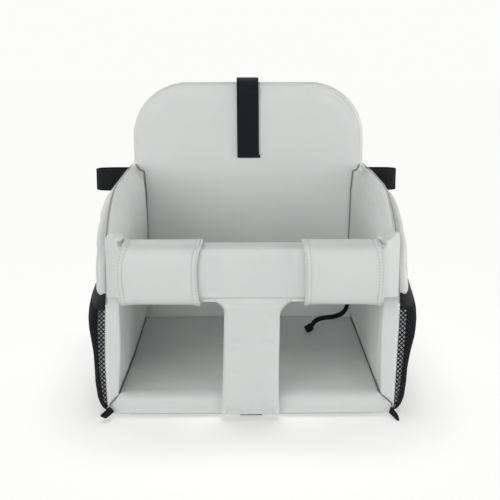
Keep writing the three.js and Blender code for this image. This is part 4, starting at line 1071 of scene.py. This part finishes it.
# Underside: a black non-slip mat printed with rubber dots, and a webbing strip let into it whose front
# end shows under the middle of the front edge.
def dotted_mat(name, cloth, dots, pitch):
    """Non-slip fabric: a black cloth with raised rubber dots on a square pitch."""
    material, tree, shader = finish_with(name, 0.8, specular=0.3)
    place = node(tree, "ShaderNodeTexCoord").outputs["Object"]
    cells = node(tree, "ShaderNodeTexVoronoi", {"feature": "F1"}, {
        "Vector": place, "Scale": 1 / pitch, "Randomness": 0.0})
    dot = node(tree, "ShaderNodeMapRange", {}, {
        "Value": cells.outputs["Distance"], "From Min": 0.3, "From Max": 0.38, "To Min": 1.0, "To Max": 0.0})
    tint = node(tree, "ShaderNodeMix", {"data_type": "RGBA"}, {
        "Factor": dot.outputs["Result"], 6: linear(cloth), 7: linear(dots)})
    tree.links.new(tint.outputs[2], shader.inputs["Base Color"])
    bump = node(tree, "ShaderNodeBump", {}, {
        "Strength": 0.7, "Distance": 0.5 * mm, "Height": dot.outputs["Result"]})
    tree.links.new(bump.outputs["Normal"], shader.inputs["Normal"])
    return material


finish_node("base_mat", dotted_mat("dotted_grip_mat", "#222325", "#38393b", 5 * mm))
finish_node("base_strap", binding)


# Inside the covers: cream open-cell foam, and grey moulded board that keeps each pad flat. They are
# seen only where a cover is opened.
foam = grained("cream_open_cell_foam", "#ece4cc", (0.95, 0.3), cells, 1.5 * mm, 0.6, 0.6 * mm)
board = grained("grey_polyethylene_board", "#8c8e90", (0.5, 0.3), cells, 3 * mm, 0.6, 0.1 * mm)
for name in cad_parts:
    if "foam" in name:
        finish_node(name, foam)
    if "board" in name:
        finish_node(name, board)


# Floor and light: white paper and a white sweep behind it. Seen directly, the paper glows as paper in
# a bright studio does and keeps the seat's soft shadow from a lamp that lights it alone. Broad soft
# lights round the seat are strongest low in front, so that the deep inside falls off.
paper = "#fcfcfb"
shadow_share = 0.46
paper_bounce = 0.54


def seen_directly(tree):
    """1 for rays that come straight from the camera, or by way of metal or glass."""
    rays = node(tree, "ShaderNodeLightPath")
    mirrored = node(tree, "ShaderNodeMath", {"operation": "MAXIMUM"}, {
        0: rays.outputs["Is Glossy Ray"], 1: rays.outputs["Is Transmission Ray"]})
    return node(tree, "ShaderNodeMath", {"operation": "MAXIMUM"}, {
        0: rays.outputs["Is Camera Ray"], 1: mirrored.outputs[0]}).outputs[0]


def studio_paper(name):
    """White paper: a share of its brightness is the lamp's light, which the seat's shadow takes away."""
    material = bpy.data.materials.new(name)
    material.use_nodes = True
    tree = material.node_tree
    tree.nodes.clear()
    lit = node(tree, "ShaderNodeBsdfDiffuse", {}, {"Color": linear(paper)})
    glow = node(tree, "ShaderNodeEmission", {}, {"Color": linear(paper), "Strength": 1.0})
    # To all other rays the paper is an even glow: painted light that stands in for what it bounces onto the
    # seat.
    bounce = node(tree, "ShaderNodeEmission", {}, {"Color": (1, 1, 1, 1), "Strength": paper_bounce})
    shown = node(tree, "ShaderNodeMixShader", {}, {0: shadow_share, 1: glow.outputs[0], 2: lit.outputs[0]})
    mixed = node(tree, "ShaderNodeMixShader", {}, {
        0: seen_directly(tree), 1: bounce.outputs[0], 2: shown.outputs[0]})
    node(tree, "ShaderNodeOutputMaterial", {}, {"Surface": mixed.outputs[0]})
    return material


floor_half = 6.0
bm = bmesh.new()
bmesh.ops.create_grid(bm, x_segments=1, y_segments=1, size=floor_half)
mesh = bpy.data.meshes.new("studio_floor")
bm.to_mesh(mesh)
bm.free()
mesh.materials.append(studio_paper("white_paper"))
floor = bpy.data.objects.new("studio_floor", mesh)
bpy.context.scene.collection.objects.link(floor)

world = bpy.data.worlds.new("studio")
bpy.context.scene.world = world
world.use_nodes = True
tree = world.node_tree
sky = tree.nodes["Background"]
sky.inputs["Color"].default_value = (1, 1, 1, 1)
sky.inputs["Strength"].default_value = 0.0
seen = node(tree, "ShaderNodeBackground", {}, {"Color": linear(paper), "Strength": 1.0})
shown = node(tree, "ShaderNodeMixShader", {}, {0: seen_directly(tree), 1: sky.outputs[0], 2: seen.outputs[0]})
tree.links.new(shown.outputs[0], tree.nodes["World Output"].inputs["Surface"])


def soft_light(name, turn, rise, spread, power, on_paper=False):
    """A broad light from afar: degrees round from the front, degrees up, and its spread. It lights
    the paper alone, or all but the paper."""
    lamp = bpy.data.lights.new(name, "SUN")
    lamp.angle = math.radians(spread)
    lamp.energy = power
    light = bpy.data.objects.new(name, lamp)
    a, e = math.radians(turn), math.radians(rise)
    way = Vector((math.sin(a) * math.cos(e), -math.cos(a) * math.cos(e), math.sin(e)))
    light.rotation_euler = (-way).to_track_quat("-Z", "Y").to_euler()
    bpy.context.scene.collection.objects.link(light)
    lit = bpy.data.collections.new(name + "_lights")
    lit.objects.link(floor)
    light.light_linking.receiver_collection = lit
    if not on_paper:
        lit.collection_objects[0].light_linking.link_state = "EXCLUDE"


seat_lights = [  # degrees round from the front, degrees up, power
    ("left_wall", -85, 5, 0.5), ("left_low", -60, 5, 0.39), ("left_key", -36, 20, 0.76),
    ("front_low", -12, 5, 0.6), ("front_key", -12, 20, 0.41), ("right_low", 36, 5, 0.34),
    ("right_key", 36, 20, 0.35), ("right_wall", 85, 5, 2.2), ("rear_left", -150, 40, 1.2),
    ("rear_right", 150, 40, 0.32),
]
for name, turn, rise, power in seat_lights:
    soft_light(name, turn, rise, 36, power)
soft_light("paper_light", 180, 81, 46, 3.15, on_paper=True)

bpy.context.scene.view_settings.view_transform = "Standard"
